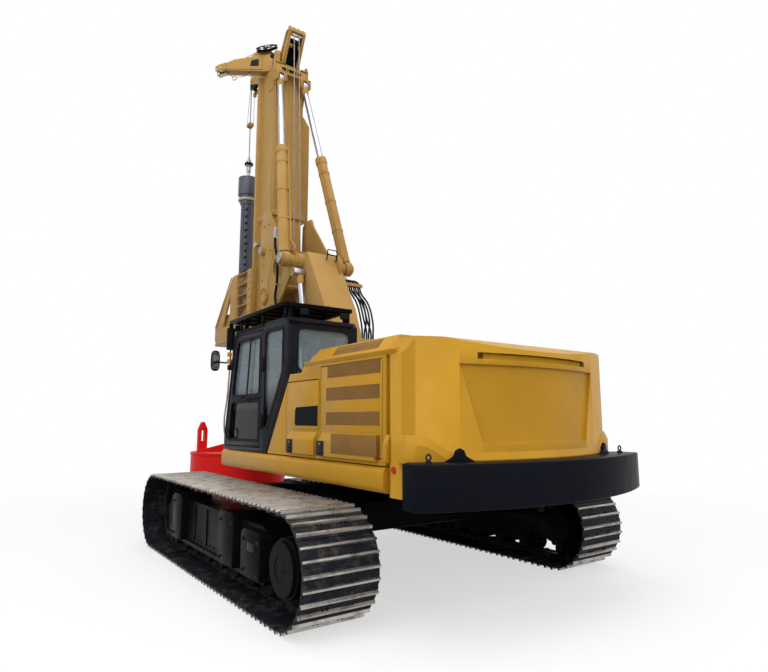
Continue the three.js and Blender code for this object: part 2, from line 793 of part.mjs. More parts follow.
function cabDoor() {
  const outer = houseHalfWidth;
  const inner = outer - cabDoorThickness;
  const leaf = slabY(inset(cabDoorOutline, doorGap), inner, outer);
  const pocket = slabY(doorPocket, inner - 10, inner + pocketDepth);
  const pins = join(
    pinFor(cabHinge.x, cabHinge.y, 1475 + seatGap, 1475 + doorGap + 20),
    pinFor(cabHinge.x, cabHinge.y, 3040 - doorGap - 20, 3040 - seatGap),
  );
  return join(cut(leaf, pocket, ...doorPanes.map((pane) => slabY(pane, inner - 20, outer + 10))), pins);
}

function doorGlass() {
  const inner = houseHalfWidth - cabDoorThickness;
  return slabY(inset(doorPocket, seatGap), inner + seatGap, inner + seatGap + glassThickness);
}

function roofGuard() {
  const y0 = cabRight + 60;
  const y1 = houseHalfWidth + 50;
  const front = cabFrontTop.x + 130;
  const plan = [[-600, y0], [front, y0], [front, y1], [-600, y1]];
  const frame = slabZ(plan, guardBottom, guardTop);
  const opening = slabZ(inset(plan, 70), guardBottom - 5, guardTop + 5);
  const pieces = [cut(frame, opening)];
  for (let i = 0; i < 6; i += 1) {
    const x = -400 + i * 240;
    pieces.push(box(x, x + 60, y0 + 60, y1 - 60, guardBottom + 10, guardTop - 10));
  }
  for (const x of [-540, 880]) {
    for (const y of [y0 + 60, houseHalfWidth - 90]) {
      pieces.push(box(x, x + 50, y - 25, y + 25, cabTop + seatGap, guardBottom + 20));
    }
    pieces.push(box(x, x + 50, y0 + 60, y1 - 60, guardBottom, guardBottom + 30));
  }
  return join(...pieces);
}

function mirrorArm() {
  const y = houseHalfWidth - 30;
  const low = 2620;
  const high = 2690;
  const plate = box(1540, 1570, 1500, 1640, 2560, 2880);
  const stand = bar([cabFace(2650) + 12, y, 2650], [1555, 1560, 2720], 14, 8);
  const base = slabY([
    [cabFace(low) + seatGap, low], [cabFace(low) + 24, low], [cabFace(high) + 24, high],
    [cabFace(high) + seatGap, high],
  ], y - 20, y + 20);
  return join(plate, stand, base);
}

// Seat and control consoles, which stand on one base
function operatorSeat() {
  const floor = deckTop + seatGap + cabWall + seatGap;
  const middle = (cabRight + houseHalfWidth) / 2;
  const pieces = [
    box(180, 760, middle - 390, middle + 390, floor, floor + 40),
    box(250, 650, middle - 130, middle + 130, floor + 30, 1720),
    box(150, 720, middle - 250, middle + 250, 1710, 1860),
    slabY([[60, 2480], [80, 1780], [230, 1780], [190, 2480]], middle - 240, middle + 240),
  ];
  for (const side of [-1, 1]) {
    const y = middle + side * 330;
    pieces.push(box(250, 760, y - 60, y + 60, floor + 30, 2010));
    pieces.push(bar([700, y, 2000], [690, y, 2170], 18, 8));
  }
  return join(...pieces);
}

// ---------------------------------------------------------------- arm, link, cradle

function supportArm() {
  const foot = barY(armPivot.x, armPivot.z, -armFootHalfWidth, armFootHalfWidth, 165, medium);
  const lowerSide = [
    [armPivot.x - 165, armPivot.z], [armPivot.x + 150, armPivot.z - 60], [620, 2780], [960, 3560],
    [480, 3560], [230, 2900],
  ];
  const upperSide = [
    [490, 3400], [900, 3400], [1420, 4270], [1460, 4420], [1330, 4560], [1120, 4540], [540, 3560],
  ];
  const upper = slabY(upperSide, -armHalfWidth, armHalfWidth);
  const head = barY(armHead.x, armHead.z, -cradleInside + seatGap, cradleInside - seatGap, 125, medium);
  const lower = slabY(lowerSide, -armFootHalfWidth, armFootHalfWidth);
  return join(foot, lower, upper, head);
}

function hoseBundle() {
  const side = -armHalfWidth - seatGap;
  const pieces = [
    box(860, 980, side - 330, side, 4010, 4070),
    box(470, 590, side - 330, -armFootHalfWidth - seatGap, 3030, 3090),
  ];
  for (let i = 0; i < 4; i += 1) {
    const y = side - 120 - i * 60;
    const bow = 30 + i * 25;
    pieces.push(pipe([
      [910, y, 4060], [900 - bow * 0.4, y, 3880], [800 - bow, y - bow, 3600], [650 - bow, y - bow, 3300],
      [530, y, 3040],
    ], 20, 6));
  }
  return join(...pieces);
}

function tieLink() {
  const half = 120;
  const way = new THREE.Vector2(linkHead.x - linkPivot.x, linkHead.z - linkPivot.z).normalize();
  const across = new THREE.Vector2(-way.y, way.x).multiplyScalar(75);
  const corners = [
    [linkPivot.x - across.x, linkPivot.z - across.y], [linkHead.x - across.x, linkHead.z - across.y],
    [linkHead.x + across.x, linkHead.z + across.y], [linkPivot.x + across.x, linkPivot.z + across.y],
  ];
  return join(
    slabY(corners, -half + 20, half - 20),
    barY(linkPivot.x, linkPivot.z, -half, half, 80, medium),
    barY(linkHead.x, linkHead.z, -cradleInside + runningGap, cradleInside - runningGap, 72, medium),
  );
}

const rakeTilt = (rakeFoot.y - rakeEye.y) / (rakeEye.z - rakeFoot.z);
const rakeAxis = new THREE.Vector3(0, 1, rakeTilt).normalize();

function alongRakeAxis(distance) {
  return [
    armHead.x,
    rakeFoot.y + rakeAxis.y * distance,
    rakeFoot.z + rakeAxis.z * distance,
  ];
}

function cradle() {
  const plate = slabY([
    [armHead.x - 130, armHead.z - 50], [armHead.x - 60, armHead.z - 110], [1830, 3790], [2080, 3650],
    [2420, 3700], [2600, 3900], [2650, 4850], [2620, 5480], [2540, 5560], [2300, 5560], [2220, 5400],
    [1700, 4780], [armHead.x + 20, armHead.z + 160], [armHead.x - 130, armHead.z + 90],
  ], cradleInside, cradleInside + cradlePlate, [arc(1870, 4440, 200, 360, 18, 19)]);
  const flange = barY(2380, 4000, cradleInside + 10, cradleInside + cradlePlate + 30, 165, medium);
  const cap = barY(mastPivot.x, mastPivot.z, cradleInside + 10, cradleInside + cradlePlate + 45, 95, medium);
  const collarEnd = rakeEyeHalf + seatGap;
  const collarRadius = trunnionRadius + 14;
  const stubEnd = rakeEyeHalf + 35;
  const stub = join(
    bar(alongRakeAxis(-170), alongRakeAxis(stubEnd), trunnionRadius, medium),
    bar(alongRakeAxis(-170), alongRakeAxis(-collarEnd), collarRadius, medium),
    bar(alongRakeAxis(collarEnd), alongRakeAxis(stubEnd), collarRadius, medium),
  );
  const outside = box(1000, 1700, cradleInside, 900, 4000, 4800);
  const side = join(plate, flange, cap, stub.intersect(outside));
  const beam = box(2130, 2350, -cradleInside - 10, cradleInside + 10, 4200, 4620);
  return join(bothSides(side), beam);
}

// ---------------------------------------------------------------- cylinders

function liftBarrel() {
  const way = new THREE.Vector3(liftEye.x - liftFoot.x, 0, liftEye.z - liftFoot.z).normalize();
  const at = (d) => [liftFoot.x + way.x * d, liftY, liftFoot.z + way.z * d];
  const body = bar(at(130), at(liftBarrelLength), liftBarrelRadius, medium);
  const neck = bar(at(60), at(135), 36, medium);
  const eye = barY(liftFoot.x, liftFoot.z, liftY - liftHalf, liftY + liftHalf, 75, medium);
  return cut(join(body, neck, eye), bar(at(480), at(liftBarrelLength + 10), liftRodRadius + rodGap, medium));
}

function liftRod() {
  const way = new THREE.Vector3(liftEye.x - liftFoot.x, 0, liftEye.z - liftFoot.z).normalize();
  const at = (d) => [liftFoot.x + way.x * d, liftY, liftFoot.z + way.z * d];
  const length = Math.hypot(liftEye.x - liftFoot.x, liftEye.z - liftFoot.z);
  return join(
    bar(at(620), at(length - 20), liftRodRadius, medium),
    barY(liftEye.x, liftEye.z, armHalfWidth + runningGap, liftY + 130, liftEyeRadius, medium),
  );
}

const rakeWay = new THREE.Vector3(
  rakeEye.x - armHead.x,
  rakeEye.y - rakeFoot.y,
  rakeEye.z - rakeFoot.z,
);
const rakeLength = rakeWay.length();
rakeWay.normalize();

function alongRake(distance) {
  return [
    armHead.x + rakeWay.x * distance,
    rakeFoot.y + rakeWay.y * distance,
    rakeFoot.z + rakeWay.z * distance,
  ];
}

function rakeBarrel() {
  const hole = boreFor(trunnionRadius, medium);
  const eye = bar(alongRakeAxis(-rakeEyeHalf), alongRakeAxis(rakeEyeHalf), rakeEyeRadius, medium);
  const body = bar(alongRake(110), alongRake(rakeBarrelLength), rakeBarrelRadius, medium);
  return cut(
    join(eye, body),
    bar(alongRakeAxis(-90), alongRakeAxis(90), hole, medium),
    bar(alongRake(380), alongRake(rakeBarrelLength + 10), rakeRodRadius + rodGap, medium),
  );
}

function rakeRod() {
  return join(
    bar(alongRake(700), alongRake(rakeLength - 140), rakeRodRadius, medium),
    bar(alongRake(rakeLength - 145), alongRake(rakeLength - 20), 36, coarse),
    barY(rakeEye.x, rakeEye.z, rakeEye.y - 42, rakeEye.y + 42, 85, medium),
  );
}

// ---------------------------------------------------------------- mast

const rakeLugHalf = 42 + 14;

function mastColumn() {
  const railRear = mastFront - railThickness;
  const plan = [
    [mastRear, -mastHalfWidth], [railRear, -mastHalfWidth], [railRear, -railHalfWidth],
    [mastFront, -railHalfWidth], [mastFront, railHalfWidth], [railRear, railHalfWidth],
    [railRear, mastHalfWidth], [mastRear, mastHalfWidth],
  ];
  const inner = [
    [mastRear + mastWall, -mastHalfWidth + mastWall], [mastFront - mastWall, -mastHalfWidth + mastWall],
    [mastFront - mastWall, mastHalfWidth - mastWall], [mastRear + mastWall, mastHalfWidth - mastWall],
  ];
  const column = slabZ(plan, mastFoot, mastHeadBottom, [inner.slice().reverse()]);
  const collarPlan = [
    [mastRear - 40, -mastHalfWidth - 40], [railRear - 80, -mastHalfWidth - 40],
    [railRear - 80, mastHalfWidth + 40], [mastRear - 40, mastHalfWidth + 40],
  ];
  const collar = cut(
    slabZ(collarPlan, mastJoint - 40, mastJoint + 40),
    slabZ(inner, mastJoint - 50, mastJoint + 50),
  );
  const bossEnd = cradleInside - seatGap;
  const boss = barY(mastPivot.x, mastPivot.z, mastHalfWidth - 10, bossEnd, 115, medium);
  const bossBack = boss.subtract(box(mastRear + 5, mastFront, 0, mastHalfWidth, 4000, 5500));
  const crossbar = box(mastRear - 60, mastRear + 10, -railHalfWidth, railHalfWidth, 8330, 8560);
  const lugs = [];
  for (const side of [-1, 1]) {
    const middle = side * rakeEye.y;
    for (const edge of [-1, 1]) {
      const y = middle + edge * (rakeLugHalf + 12);
      lugs.push(slabY([
        [mastRear - 180, 8160], [mastRear - 40, 8160], [mastRear + 5, 8260], [mastRear + 5, 8480],
        [mastRear - 50, 8480], [mastRear - 180, 8300],
      ], y - 12, y + 12));
    }
  }
  return join(column, collar, bothSides(bossBack), crossbar, winchFrame(), ...lugs);
}

function mastSideBox() {
  const y1 = -mastHalfWidth - seatGap;
  return slabX([
    [y1, mastJoint + 50], [y1, 7800], [y1 - 120, 7800], [y1 - 260, 7620], [y1 - 260, mastJoint + 50],
  ].reverse(), 2700, 3040);
}

function mastHead() {
  const base = mastHeadBottom + seatGap;
  const cap = box(mastRear, mastFront + 20, -headHalfWidth, headHalfWidth, base, base + 50);
  const wall = slabY([
    [mastRear + 60, base + 40], [mastFront, base + 40], [mastFront, headTop - 60], [mastFront - 120, headTop],
    [mastRear + 190, headTop], [mastRear + 60, headTop - 130],
  ], headHalfWidth - 100, headHalfWidth - 75);
  const wallSide = headHalfWidth - 90;
  const deck = box(mastRear + 190, mastFront - 120, -wallSide, wallSide, headTop - 30, headTop);
  const cheek = slabY([
    [mastFront - 400, base + 40], [mastFront + 20, base + 40], [4290, sheaveHeight - 70],
    [4290, sheaveHeight + 60], [4150, sheaveHeight + 80], [mastFront - 100, headTop - 40],
    [mastFront - 400, headTop - 40],
  ], 60, 85);
  const gantry = slabY([
    [mastRear - 30, base + 40], [mastRear + 300, base + 40], [mastRear - 130, gantryTop],
    [mastRear - 290, gantryTop], [mastRear - 300, gantryTop - 70],
  ], 120, 150);
  const top = box(mastRear - 285, mastRear - 145, -140, 140, gantryTop - 60, gantryTop);
  const lugs = [];
  for (let i = 0; i < 4; i += 1) {
    const y = -135 + i * 90;
    lugs.push(slabY([
      [mastRear - 290, gantryTop - 10], [mastRear - 130, gantryTop - 10], [mastRear - 185, gantryTop + 60],
      [mastRear - 235, gantryTop + 60],
    ], y - 12, y + 12));
  }
  const sheaveHub = barY(mainSheaveX, sheaveHeight, 42 + seatGap, 95, 45, medium);
  const rearHub = barY(rearSheaveX, rearSheaveZ, 42 + seatGap, 130, 40, coarse);
  const pieces = [wall, cheek, gantry, sheaveHub, rearHub].map(bothSides);
  return join(cap, deck, top, ...pieces, ...lugs);
}

const grooveRadius = sheaveRadius - grooveDepth;
const mainSheaveX = kellyX - grooveRadius - ropeRadius - seatGap;
const rearSheaveX = 2360;
const rearSheaveZ = 8960;
const rearSheaveRadius = 130;
const gantryTop = 9240;
const headHalfWidth = 290;

function sheave(x, z, radius, hub, depth, facets) {
  const lip = 30;
  const groove = ropeRadius + 6;
  const rim = radius - depth - 12;
  return turnedY([
    [0, -42], [hub, -42], [hub, -18], [rim - 12, -18], [rim, -lip], [radius, -lip],
    [radius - depth, -groove], [radius - depth, groove], [radius, lip], [rim, lip],
    [rim - 12, 18], [hub, 18], [hub, 42], [0, 42],
  ], facets, x, z);
}

const jibRoot = new THREE.Vector3(2950, 300, 8790);
const jibWay = new THREE.Vector3(Math.SQRT1_2, Math.SQRT1_2, 0);
const jibAcross = new THREE.Vector3(-Math.SQRT1_2, Math.SQRT1_2, 0);
const jibLength = 1040;
const jibSheavePlace = 930;
const jibSheaveRadius = 105;

// Places along the jib: forward along it, across it, and up
function onJib(along, across, up) {
  return jibRoot.clone()
    .addScaledVector(jibWay, along)
    .addScaledVector(jibAcross, across)
    .add(new THREE.Vector3(0, 0, up));
}

function jibSlab(points, across0, across1) {
  const geometry = extruded(points, across1 - across0);
  const turn = new THREE.Matrix4().makeBasis(jibWay, new THREE.Vector3(0, 0, 1), jibAcross.clone().negate());
  geometry.applyMatrix4(turn);
  const start = onJib(0, across1, 0);
  geometry.translate(start.x, start.y, start.z);
  return solidOf(geometry);
}

function auxJib() {
  const body = jibSlab([
    [-150, -200], [0, -200], [620, -120], [820, -90], [820, 60], [640, 120], [0, 150], [-150, 150],
  ], -90, 90);
  const tipSide = [
    [800, -80], [900, -110], [jibLength, -70], [jibLength, 20], [930, 70], [800, 50],
  ];
  const tip = jibSlab(tipSide, 45, 75);
  const tipFar = jibSlab(tipSide, -75, -45);
  const place = jibSheavePlace;
  const hubNear = bar(onJib(place, 42 + seatGap, -30).toArray(), onJib(place, 50, -30).toArray(), 30);
  const hubFar = bar(onJib(place, -42 - seatGap, -30).toArray(), onJib(place, -50, -30).toArray(), 30);
  const root = join(body, tip, tipFar, hubNear, hubFar);
  const capTop = mastHeadBottom + seatGap + 50 + seatGap;
  const below = box(2000, 4000, -600, headHalfWidth + seatGap, 8000, capTop);
  const rail = box(2000, 4000, -600, railHalfWidth + 10, 8000, mastHeadBottom + seatGap);
  const wall = box(2000, 4000, -600, headHalfWidth - 75 + seatGap, capTop - 10, 10000);
  return cut(root, below, rail, wall);
}

function jibSheave() {
  const wheel = sheave(0, 0, jibSheaveRadius, 40, 24, coarse);
  const mesh = geometryOf(wheel);
  const turn = new THREE.Matrix4().makeBasis(jibWay, jibAcross, new THREE.Vector3(0, 0, 1));
  mesh.applyMatrix4(turn);
  const place = onJib(jibSheavePlace, 0, -30);
  mesh.translate(place.x, place.y, place.z);
  return solidOf(mesh);
}

function winchFrame() {
  const plate = slabY([
    [winchX - 130, auxWinchZ - 130], [mastRear + 5, auxWinchZ - 300], [mastRear + 5, mainWinchZ + 360],
    [winchX - 130, mainWinchZ + 150],
  ], drumHalfWidth + seatGap, drumHalfWidth + 26);
  const back = box(mastRear - 40, mastRear + 5, -240, 240, auxWinchZ - 290, mainWinchZ + 350);
  return join(bothSides(plate), back);
}

function winchDrum(z) {
  const core = drumFlangeRadius - 90;
  return turnedY([
    [0, -drumHalfWidth], [60, -drumHalfWidth], [60, -drumHalfWidth + 15],
    [drumFlangeRadius, -drumHalfWidth + 15],
    [drumFlangeRadius, -drumHalfWidth + 35], [core, -drumHalfWidth + 35], [core, drumHalfWidth - 35],
    [drumFlangeRadius, drumHalfWidth - 35], [drumFlangeRadius, drumHalfWidth - 15], [60, drumHalfWidth - 15],
    [60, drumHalfWidth], [0, drumHalfWidth],
  ], medium, winchX, z);
}

// ---------------------------------------------------------------- drilling gear

const tableBore = sleeveRadius + 70;
const shelfCount = 7;

function rotaryCarriage() {
  const back = mastFront + seatGap;
  const plate = box(back, back + 60, -420, 420, carriageBottom, carriageTop);
  const clawRear = mastFront - railThickness - 45;
  const clawInside = mastHalfWidth + runningGap;
  const railSide = railHalfWidth + seatGap;
  const claw = join(
    box(clawRear, back + 10, railSide, 420, carriageBottom, carriageTop),
    box(clawRear, clawRear + 40, clawInside, 420, carriageBottom, carriageTop),
  );
  const web = box(back + 50, 3990, 290, 315, carriageBottom, carriageTop - 30);
  const sidePlate = slabY([
    [3700, carriageBottom], [4700, carriageBottom], [carriageFront, carriageBottom + 120],
    [carriageFront, 3720], [3960, carriageTop], [3700, carriageTop],
  ], 400, 440, [[[4060, 3700], [4060, 4330], [4440, 3700]].reverse()]);
  const pieces = [bothSides(claw), plate, bothSides(web), bothSides(sidePlate)];
  const shelfSpacing = (carriageTop - carriageBottom - 60) / (shelfCount - 1);
  for (let i = 0; i < shelfCount; i += 1) {
    const z = carriageBottom + 20 + i * shelfSpacing;
    pieces.push(bothSides(box(back + 50, 3720, 300, 430, z, z + 22)));
  }
  const table = cut(
    box(back + 50, carriageFront, -430, 430, carriageBottom, carriageBottom + tableThickness),
    barZ(kellyX, 0, carriageBottom - 10, carriageBottom + 80, tableBore, medium),
  );
  pieces.push(table);
  return join(...pieces);
}

function rotaryDrive() {
  const lowest = carriageBottom + tableThickness + seatGap;
  const bore = boreFor(sleeveRadius, medium);
  const half = gearboxRadius - 10;
  const body = join(
    barZ(kellyX, 0, lowest, gearboxTop, gearboxRadius, fine),
    box(4010, kellyX, -half, half, lowest, gearboxTop - 60),
    bothSides(barZ(4130, 215, gearboxTop - 80, 4380, 95, medium)),
    bothSides(barZ(4130, 215, gearboxTop - 80, gearboxTop - 20, 130, medium)),
  );
  return cut(body, barZ(kellyX, 0, lowest - 10, gearboxTop + 10, bore, medium));
}

function driveSleeve() {
  const inside = boreFor(kellyRadius + 20, medium, runningGap);
  const collarTop = carriageBottom + tableThickness;
  return cut(
    join(
      barZ(kellyX, 0, sleeveBottom, gearboxTop + 60, sleeveRadius, medium),
      barZ(kellyX, 0, sleeveBottom, sleeveBottom + 120, 240, medium),
      barZ(kellyX, 0, collarTop - 120, collarTop, sleeveRadius + 45, medium),
    ),
    barZ(kellyX, 0, sleeveBottom - 10, gearboxTop + 70, inside, medium),
  );
}

function kellyBar() {
  const lowest = kellyBoxTop + seatGap;
  const pieces = [
    barZ(kellyX, 0, lowest, kellyTop, kellyRadius, medium),
    barZ(kellyX, 0, 6500, 6610, 172, medium),
    barZ(kellyX, 0, 6600, 6980, 205, medium),
  ];
  for (let i = 0; i < 3; i += 1) {
    const angle = (2 * Math.PI * i) / 3;
    const reach = kellyRadius + 12;
    const x = Math.cos(angle);
    const y = Math.sin(angle);
    const along = [kellyX + x * (kellyRadius - 30), y * (kellyRadius - 30)];
    const tip = [kellyX + x * reach, y * reach];
    const corners = [
      [along[0] - y * 20, along[1] + x * 20], [along[0] + y * 20, along[1] - x * 20],
      [tip[0] + y * 20, tip[1] - x * 20], [tip[0] - y * 20, tip[1] + x * 20],
    ];
    pieces.push(slabZ(corners, lowest + 40, 6550));
  }
  return join(...pieces);
}

function kellySwivel() {
  const base = kellyTop + seatGap;
  return join(
    barZ(kellyX, 0, base, base + 90, 110, medium),
    barZ(kellyX, 0, base + 80, base + 420, 75, medium),
    barY(kellyX, base + 450, -28, 28, 70, coarse),
  );
}

function mainRope() {
  return barZ(kellyX, 0, kellyTop + 520 + 2 * seatGap, sheaveHeight, ropeRadius, 8);
}

const gateHinge = { x: kellyX + bucketRadius + 36, z: bucketBottom - 6 };

const ribReach = 780;
const ribHeight = 190;
const ribThickness = 24;

function drillingBucket() {
  const ring = turned([
    [0, bucketTop - bucketWall], [bucketRadius - bucketWall, bucketTop - bucketWall],
    [bucketRadius - bucketWall, bucketBottom], [bucketRadius, bucketBottom], [bucketRadius, bucketTop],
    [0, bucketTop],
  ], fine, kellyX, 0);
  const pieces = [ring, box(kellyX - 160, kellyX + 160, -160, 160, bucketTop - 5, kellyBoxTop)];
  for (let i = 0; i < 6; i += 1) {
    const angle = Math.PI / 6 + (Math.PI * i) / 3;
    const geometry = extruded([
      [130, 0], [ribReach, 0], [ribReach, 50], [170, ribHeight], [130, ribHeight],
    ], ribThickness);
    geometry.rotateX(Math.PI / 2);
    geometry.translate(0, ribThickness / 2, 0);
    geometry.rotateZ(angle);
    geometry.translate(kellyX, 0, bucketTop - 3);
    pieces.push(solidOf(geometry));
  }
  const tx = kellyX + towerPlace.x;
  const ty = towerPlace.y;
  const slot = [
    [ty - 30, towerTop - 380], [ty - 30, towerTop - 170], [ty + 30, towerTop - 170],
    [ty + 30, towerTop - 380],
  ];
  const tower = slabX([
    [ty - 90, bucketTop - 3], [ty + 90, bucketTop - 3], [ty + 90, towerTop - 150], [ty + 25, towerTop],
    [ty - 25, towerTop], [ty - 90, towerTop - 150],
  ], tx - 50, tx + 50, [slot]);
  pieces.push(tower);
  for (const edge of [-1, 1]) {
    const y = edge * 95;
    const wall = kellyX + bucketRadius - 25;
    pieces.push(slabY([
      [wall, bucketBottom + 20], [gateHinge.x + 30, bucketBottom + 20],
      [gateHinge.x + 30, bucketBottom + 90], [wall, bucketBottom + 220],
    ], y - 25, y + 25));
    pieces.push(barY(gateHinge.x, gateHinge.z + 8, y - 25, y + 25, 30, coarse));
    pieces.push(box(gateHinge.x - 20, gateHinge.x + 20, y - 25, y + 25, gateHinge.z, bucketBottom + 30));
  }
  return join(...pieces);
}

function bucketGate() {
  const top = bucketBottom - seatGap;
  const disc = barZ(kellyX, 0, top - gateThickness, top, bucketRadius, fine);
  const lug = barY(gateHinge.x, gateHinge.z + 8, -70 + seatGap, 70 - seatGap, 30, coarse);
  const arm = box(kellyX + bucketRadius - 60, gateHinge.x, -60, 60, top - gateThickness + 4, top - 4);
  const pieces = [disc, lug, arm];
  for (let i = -2; i <= 2; i += 1) {
    if (i !== 0) {
      const y = i * 320;
      pieces.push(slabY([
        [kellyX - 90, top - gateThickness + 2], [kellyX + 90, top - gateThickness + 2],
        [kellyX + 40, top - gateThickness - 90],
      ].reverse(), y - 30, y + 30));
    }
  }
  pieces.push(pointedPilot(top - gateThickness + 5));
  return join(...pieces);
}

function pointedPilot(z) {
  const geometry = new THREE.ConeGeometry(110, 130, 8);
  geometry.rotateX(-Math.PI / 2);
  geometry.translate(kellyX, 0, z - 65);
  return solidOf(geometry);
}

// ---------------------------------------------------------------- assembly

const rig = new THREE.Group();
rig.name = 'rotary_piling_rig';
const ground = pivotGroup(rig, 0, 0, 0);

addPiece(ground, 'carbody', carbody(), looks.black);
for (const side of ['left', 'right']) {
  const turn = (solid) => (side === 'left' ? solid : mirrored(solid));
  const sign = side === 'left' ? 1 : -1;
  addPiece(ground, `${side}_track_frame`, turn(trackFrame()), looks.black);
  addPiece(ground, `${side}_track`, turn(trackLoop()), looks.trackSteel);
  const drive = pivotGroup(ground, -wheelX, sign * trackMiddle, axleZ);
  addPiece(drive, `${side}_sprocket`, turn(sprocket()), looks.black);
  const front = pivotGroup(ground, wheelX, sign * trackMiddle, axleZ);
  addPiece(front, `${side}_idler`, turn(idler()), looks.black);
}

const house = pivotGroup(ground, 0, 0, deckBottom);
addPiece(house, 'house_frame', houseFrame(), looks.black);
addPiece(house, 'left_sill', sill(), looks.bodyYellow);
addPiece(house, 'right_sill', mirrored(sill()), looks.bodyYellow);
addPiece(house, 'rear_housing', rearHousing(), looks.bodyYellow);
addPiece(house, 'counterweight', counterweight(), looks.bodyYellow);
addPiece(house, 'rear_ballast', rearBallast(), looks.black);
addPiece(house, 'tank_housing', tankHousing(), looks.bodyYellow);
addPiece(house, 'engine_block', engineBlock(), looks.black);
addPiece(house, 'cab_shell', cabShell(), looks.cabGrey);
addPiece(house, 'windshield', windshield(), looks.glass);
addPiece(house, 'rear_glass', rearGlass(), looks.glass);
addPiece(house, 'quarter_glass', paneY(quarterWindow, houseHalfWidth - cabWall / 2), looks.glass);
addPiece(house, 'right_glass', paneY(rightWindow, cabRight + cabWall / 2), looks.glass);
addPiece(house, 'roof_guard', roofGuard(), looks.black);
addPiece(house, 'side_mirror', mirrorArm(), looks.black);
addPiece(house, 'operator_seat', operatorSeat(), looks.seatCloth);

const cabDoorGroup = pivotGroup(house, cabHinge.x, cabHinge.y, 1475);
addPiece(cabDoorGroup, 'cab_door', cabDoor(), looks.cabGrey);
addPiece(cabDoorGroup, 'door_glass', doorGlass(), looks.glass);

const doorY = houseHalfWidth - hingeInset;
const frontHingeX = frontDoorRear + doorGap + hingeInset;
const rearHingeX = louvreDoorRear + doorGap + hingeInset;
const sideDoorGroup = pivotGroup(house, frontHingeX, doorY, doorBottom);
const sideDoorSolid = sideDoor(frontDoorFront, frontDoorRear, doorBottom, frontDoorTop, 1);
addPiece(sideDoorGroup, 'side_door', sideDoorSolid, looks.bodyYellow);
const louvreGroup = pivotGroup(house, rearHingeX, doorY, doorBottom);
const louvreSolid = sideDoor(frontDoorRear - 20, louvreDoorRear, doorBottom, louvreDoorTop, 1);
addPiece(louvreGroup, 'louvre_door', louvreSolid, looks.bodyYellow);
const rightDoorGroup = pivotGroup(house, rearHingeX, -doorY, doorBottom);
const rightDoorSolid = sideDoor(frontDoorRear, louvreDoorRear, doorBottom, louvreDoorTop, -1);
addPiece(rightDoorGroup, 'right_door', rightDoorSolid, looks.bodyYellow);
const hoodGroup = pivotGroup(house, hoodFront - doorGap - hingeInset, 0, bodyTop - hingeInset);
addPiece(hoodGroup, 'engine_hood', engineHood(), looks.bodyYellow);

const armGroup = pivotGroup(house, armPivot.x, 0, armPivot.z);
addPiece(armGroup, 'support_arm', supportArm(), looks.mastYellow);
addPiece(armGroup, 'hose_bundle', hoseBundle(), looks.rubber);
const linkGroup = pivotGroup(house, linkPivot.x, 0, linkPivot.z);
addPiece(linkGroup, 'tie_link', tieLink(), looks.mastYellow);
const cradleGroup = pivotGroup(armGroup, armHead.x, 0, armHead.z);
addPiece(cradleGroup, 'mast_cradle', cradle(), looks.mastYellow);

for (const side of ['left', 'right']) {
  const sign = side === 'left' ? 1 : -1;
  const turn = (solid) => (side === 'left' ? solid : mirrored(solid));
  const lift = pivotGroup(house, liftFoot.x, sign * liftY, liftFoot.z);
  addPiece(lift, `${side}_lift_barrel`, turn(liftBarrel()), looks.mastYellow);
  addPiece(lift, `${side}_lift_rod`, turn(liftRod()), looks.chrome);
  const rake = pivotGroup(cradleGroup, armHead.x, sign * rakeFoot.y, rakeFoot.z);
  addPiece(rake, `${side}_rake_barrel`, turn(rakeBarrel()), looks.mastYellow);
  addPiece(rake, `${side}_rake_rod`, turn(rakeRod()), looks.chrome);
}

const mast = pivotGroup(cradleGroup, mastPivot.x, 0, mastPivot.z);
addPiece(mast, 'mast_column', mastColumn(), looks.mastYellow);
addPiece(mast, 'mast_head', mastHead(), looks.mastYellow);
addPiece(mast, 'mast_side_box', mastSideBox(), looks.mastYellow);
addPiece(mast, 'aux_jib', auxJib(), looks.mastYellow);
const mainWinch = pivotGroup(mast, winchX, 0, mainWinchZ);
addPiece(mainWinch, 'main_winch_drum', winchDrum(mainWinchZ), looks.black);
const auxWinch = pivotGroup(mast, winchX, 0, auxWinchZ);
addPiece(auxWinch, 'aux_winch_drum', winchDrum(auxWinchZ), looks.black);
const mainWheel = pivotGroup(mast, mainSheaveX, 0, sheaveHeight);
const mainSheave = sheave(mainSheaveX, sheaveHeight, sheaveRadius, 50, grooveDepth, fine);
addPiece(mainWheel, 'main_sheave', mainSheave, looks.black);
const rearWheel = pivotGroup(mast, rearSheaveX, 0, rearSheaveZ);
const rearSheave = sheave(rearSheaveX, rearSheaveZ, rearSheaveRadius, 45, 24, medium);
addPiece(rearWheel, 'rear_sheave', rearSheave, looks.black);
const jibPlace = onJib(jibSheavePlace, 0, -30);
const jibWheel = pivotGroup(mast, jibPlace.x, jibPlace.y, jibPlace.z);
addPiece(jibWheel, 'jib_sheave', jibSheave(), looks.black);

const carriage = pivotGroup(mast, mastFront, 0, carriageBottom);
addPiece(carriage, 'rotary_carriage', rotaryCarriage(), looks.mastYellow);
addPiece(carriage, 'rotary_drive', rotaryDrive(), looks.mastYellow);
const sleeveGroup = pivotGroup(carriage, kellyX, 0, carriageBottom);
addPiece(sleeveGroup, 'drive_sleeve', driveSleeve(), looks.black);
const swivelGroup = pivotGroup(mast, kellyX, 0, kellyTop);
addPiece(swivelGroup, 'kelly_swivel', kellySwivel(), looks.black);
addPiece(swivelGroup, 'main_rope', mainRope(), looks.chrome);
const kellyGroup = pivotGroup(swivelGroup, kellyX, 0, kellyTop);
addPiece(kellyGroup, 'kelly_bar', kellyBar(), looks.kellyGrey);
addPiece(kellyGroup, 'drilling_bucket', drillingBucket(), looks.red);
const gateGroup = pivotGroup(kellyGroup, gateHinge.x, 0, gateHinge.z + 8);
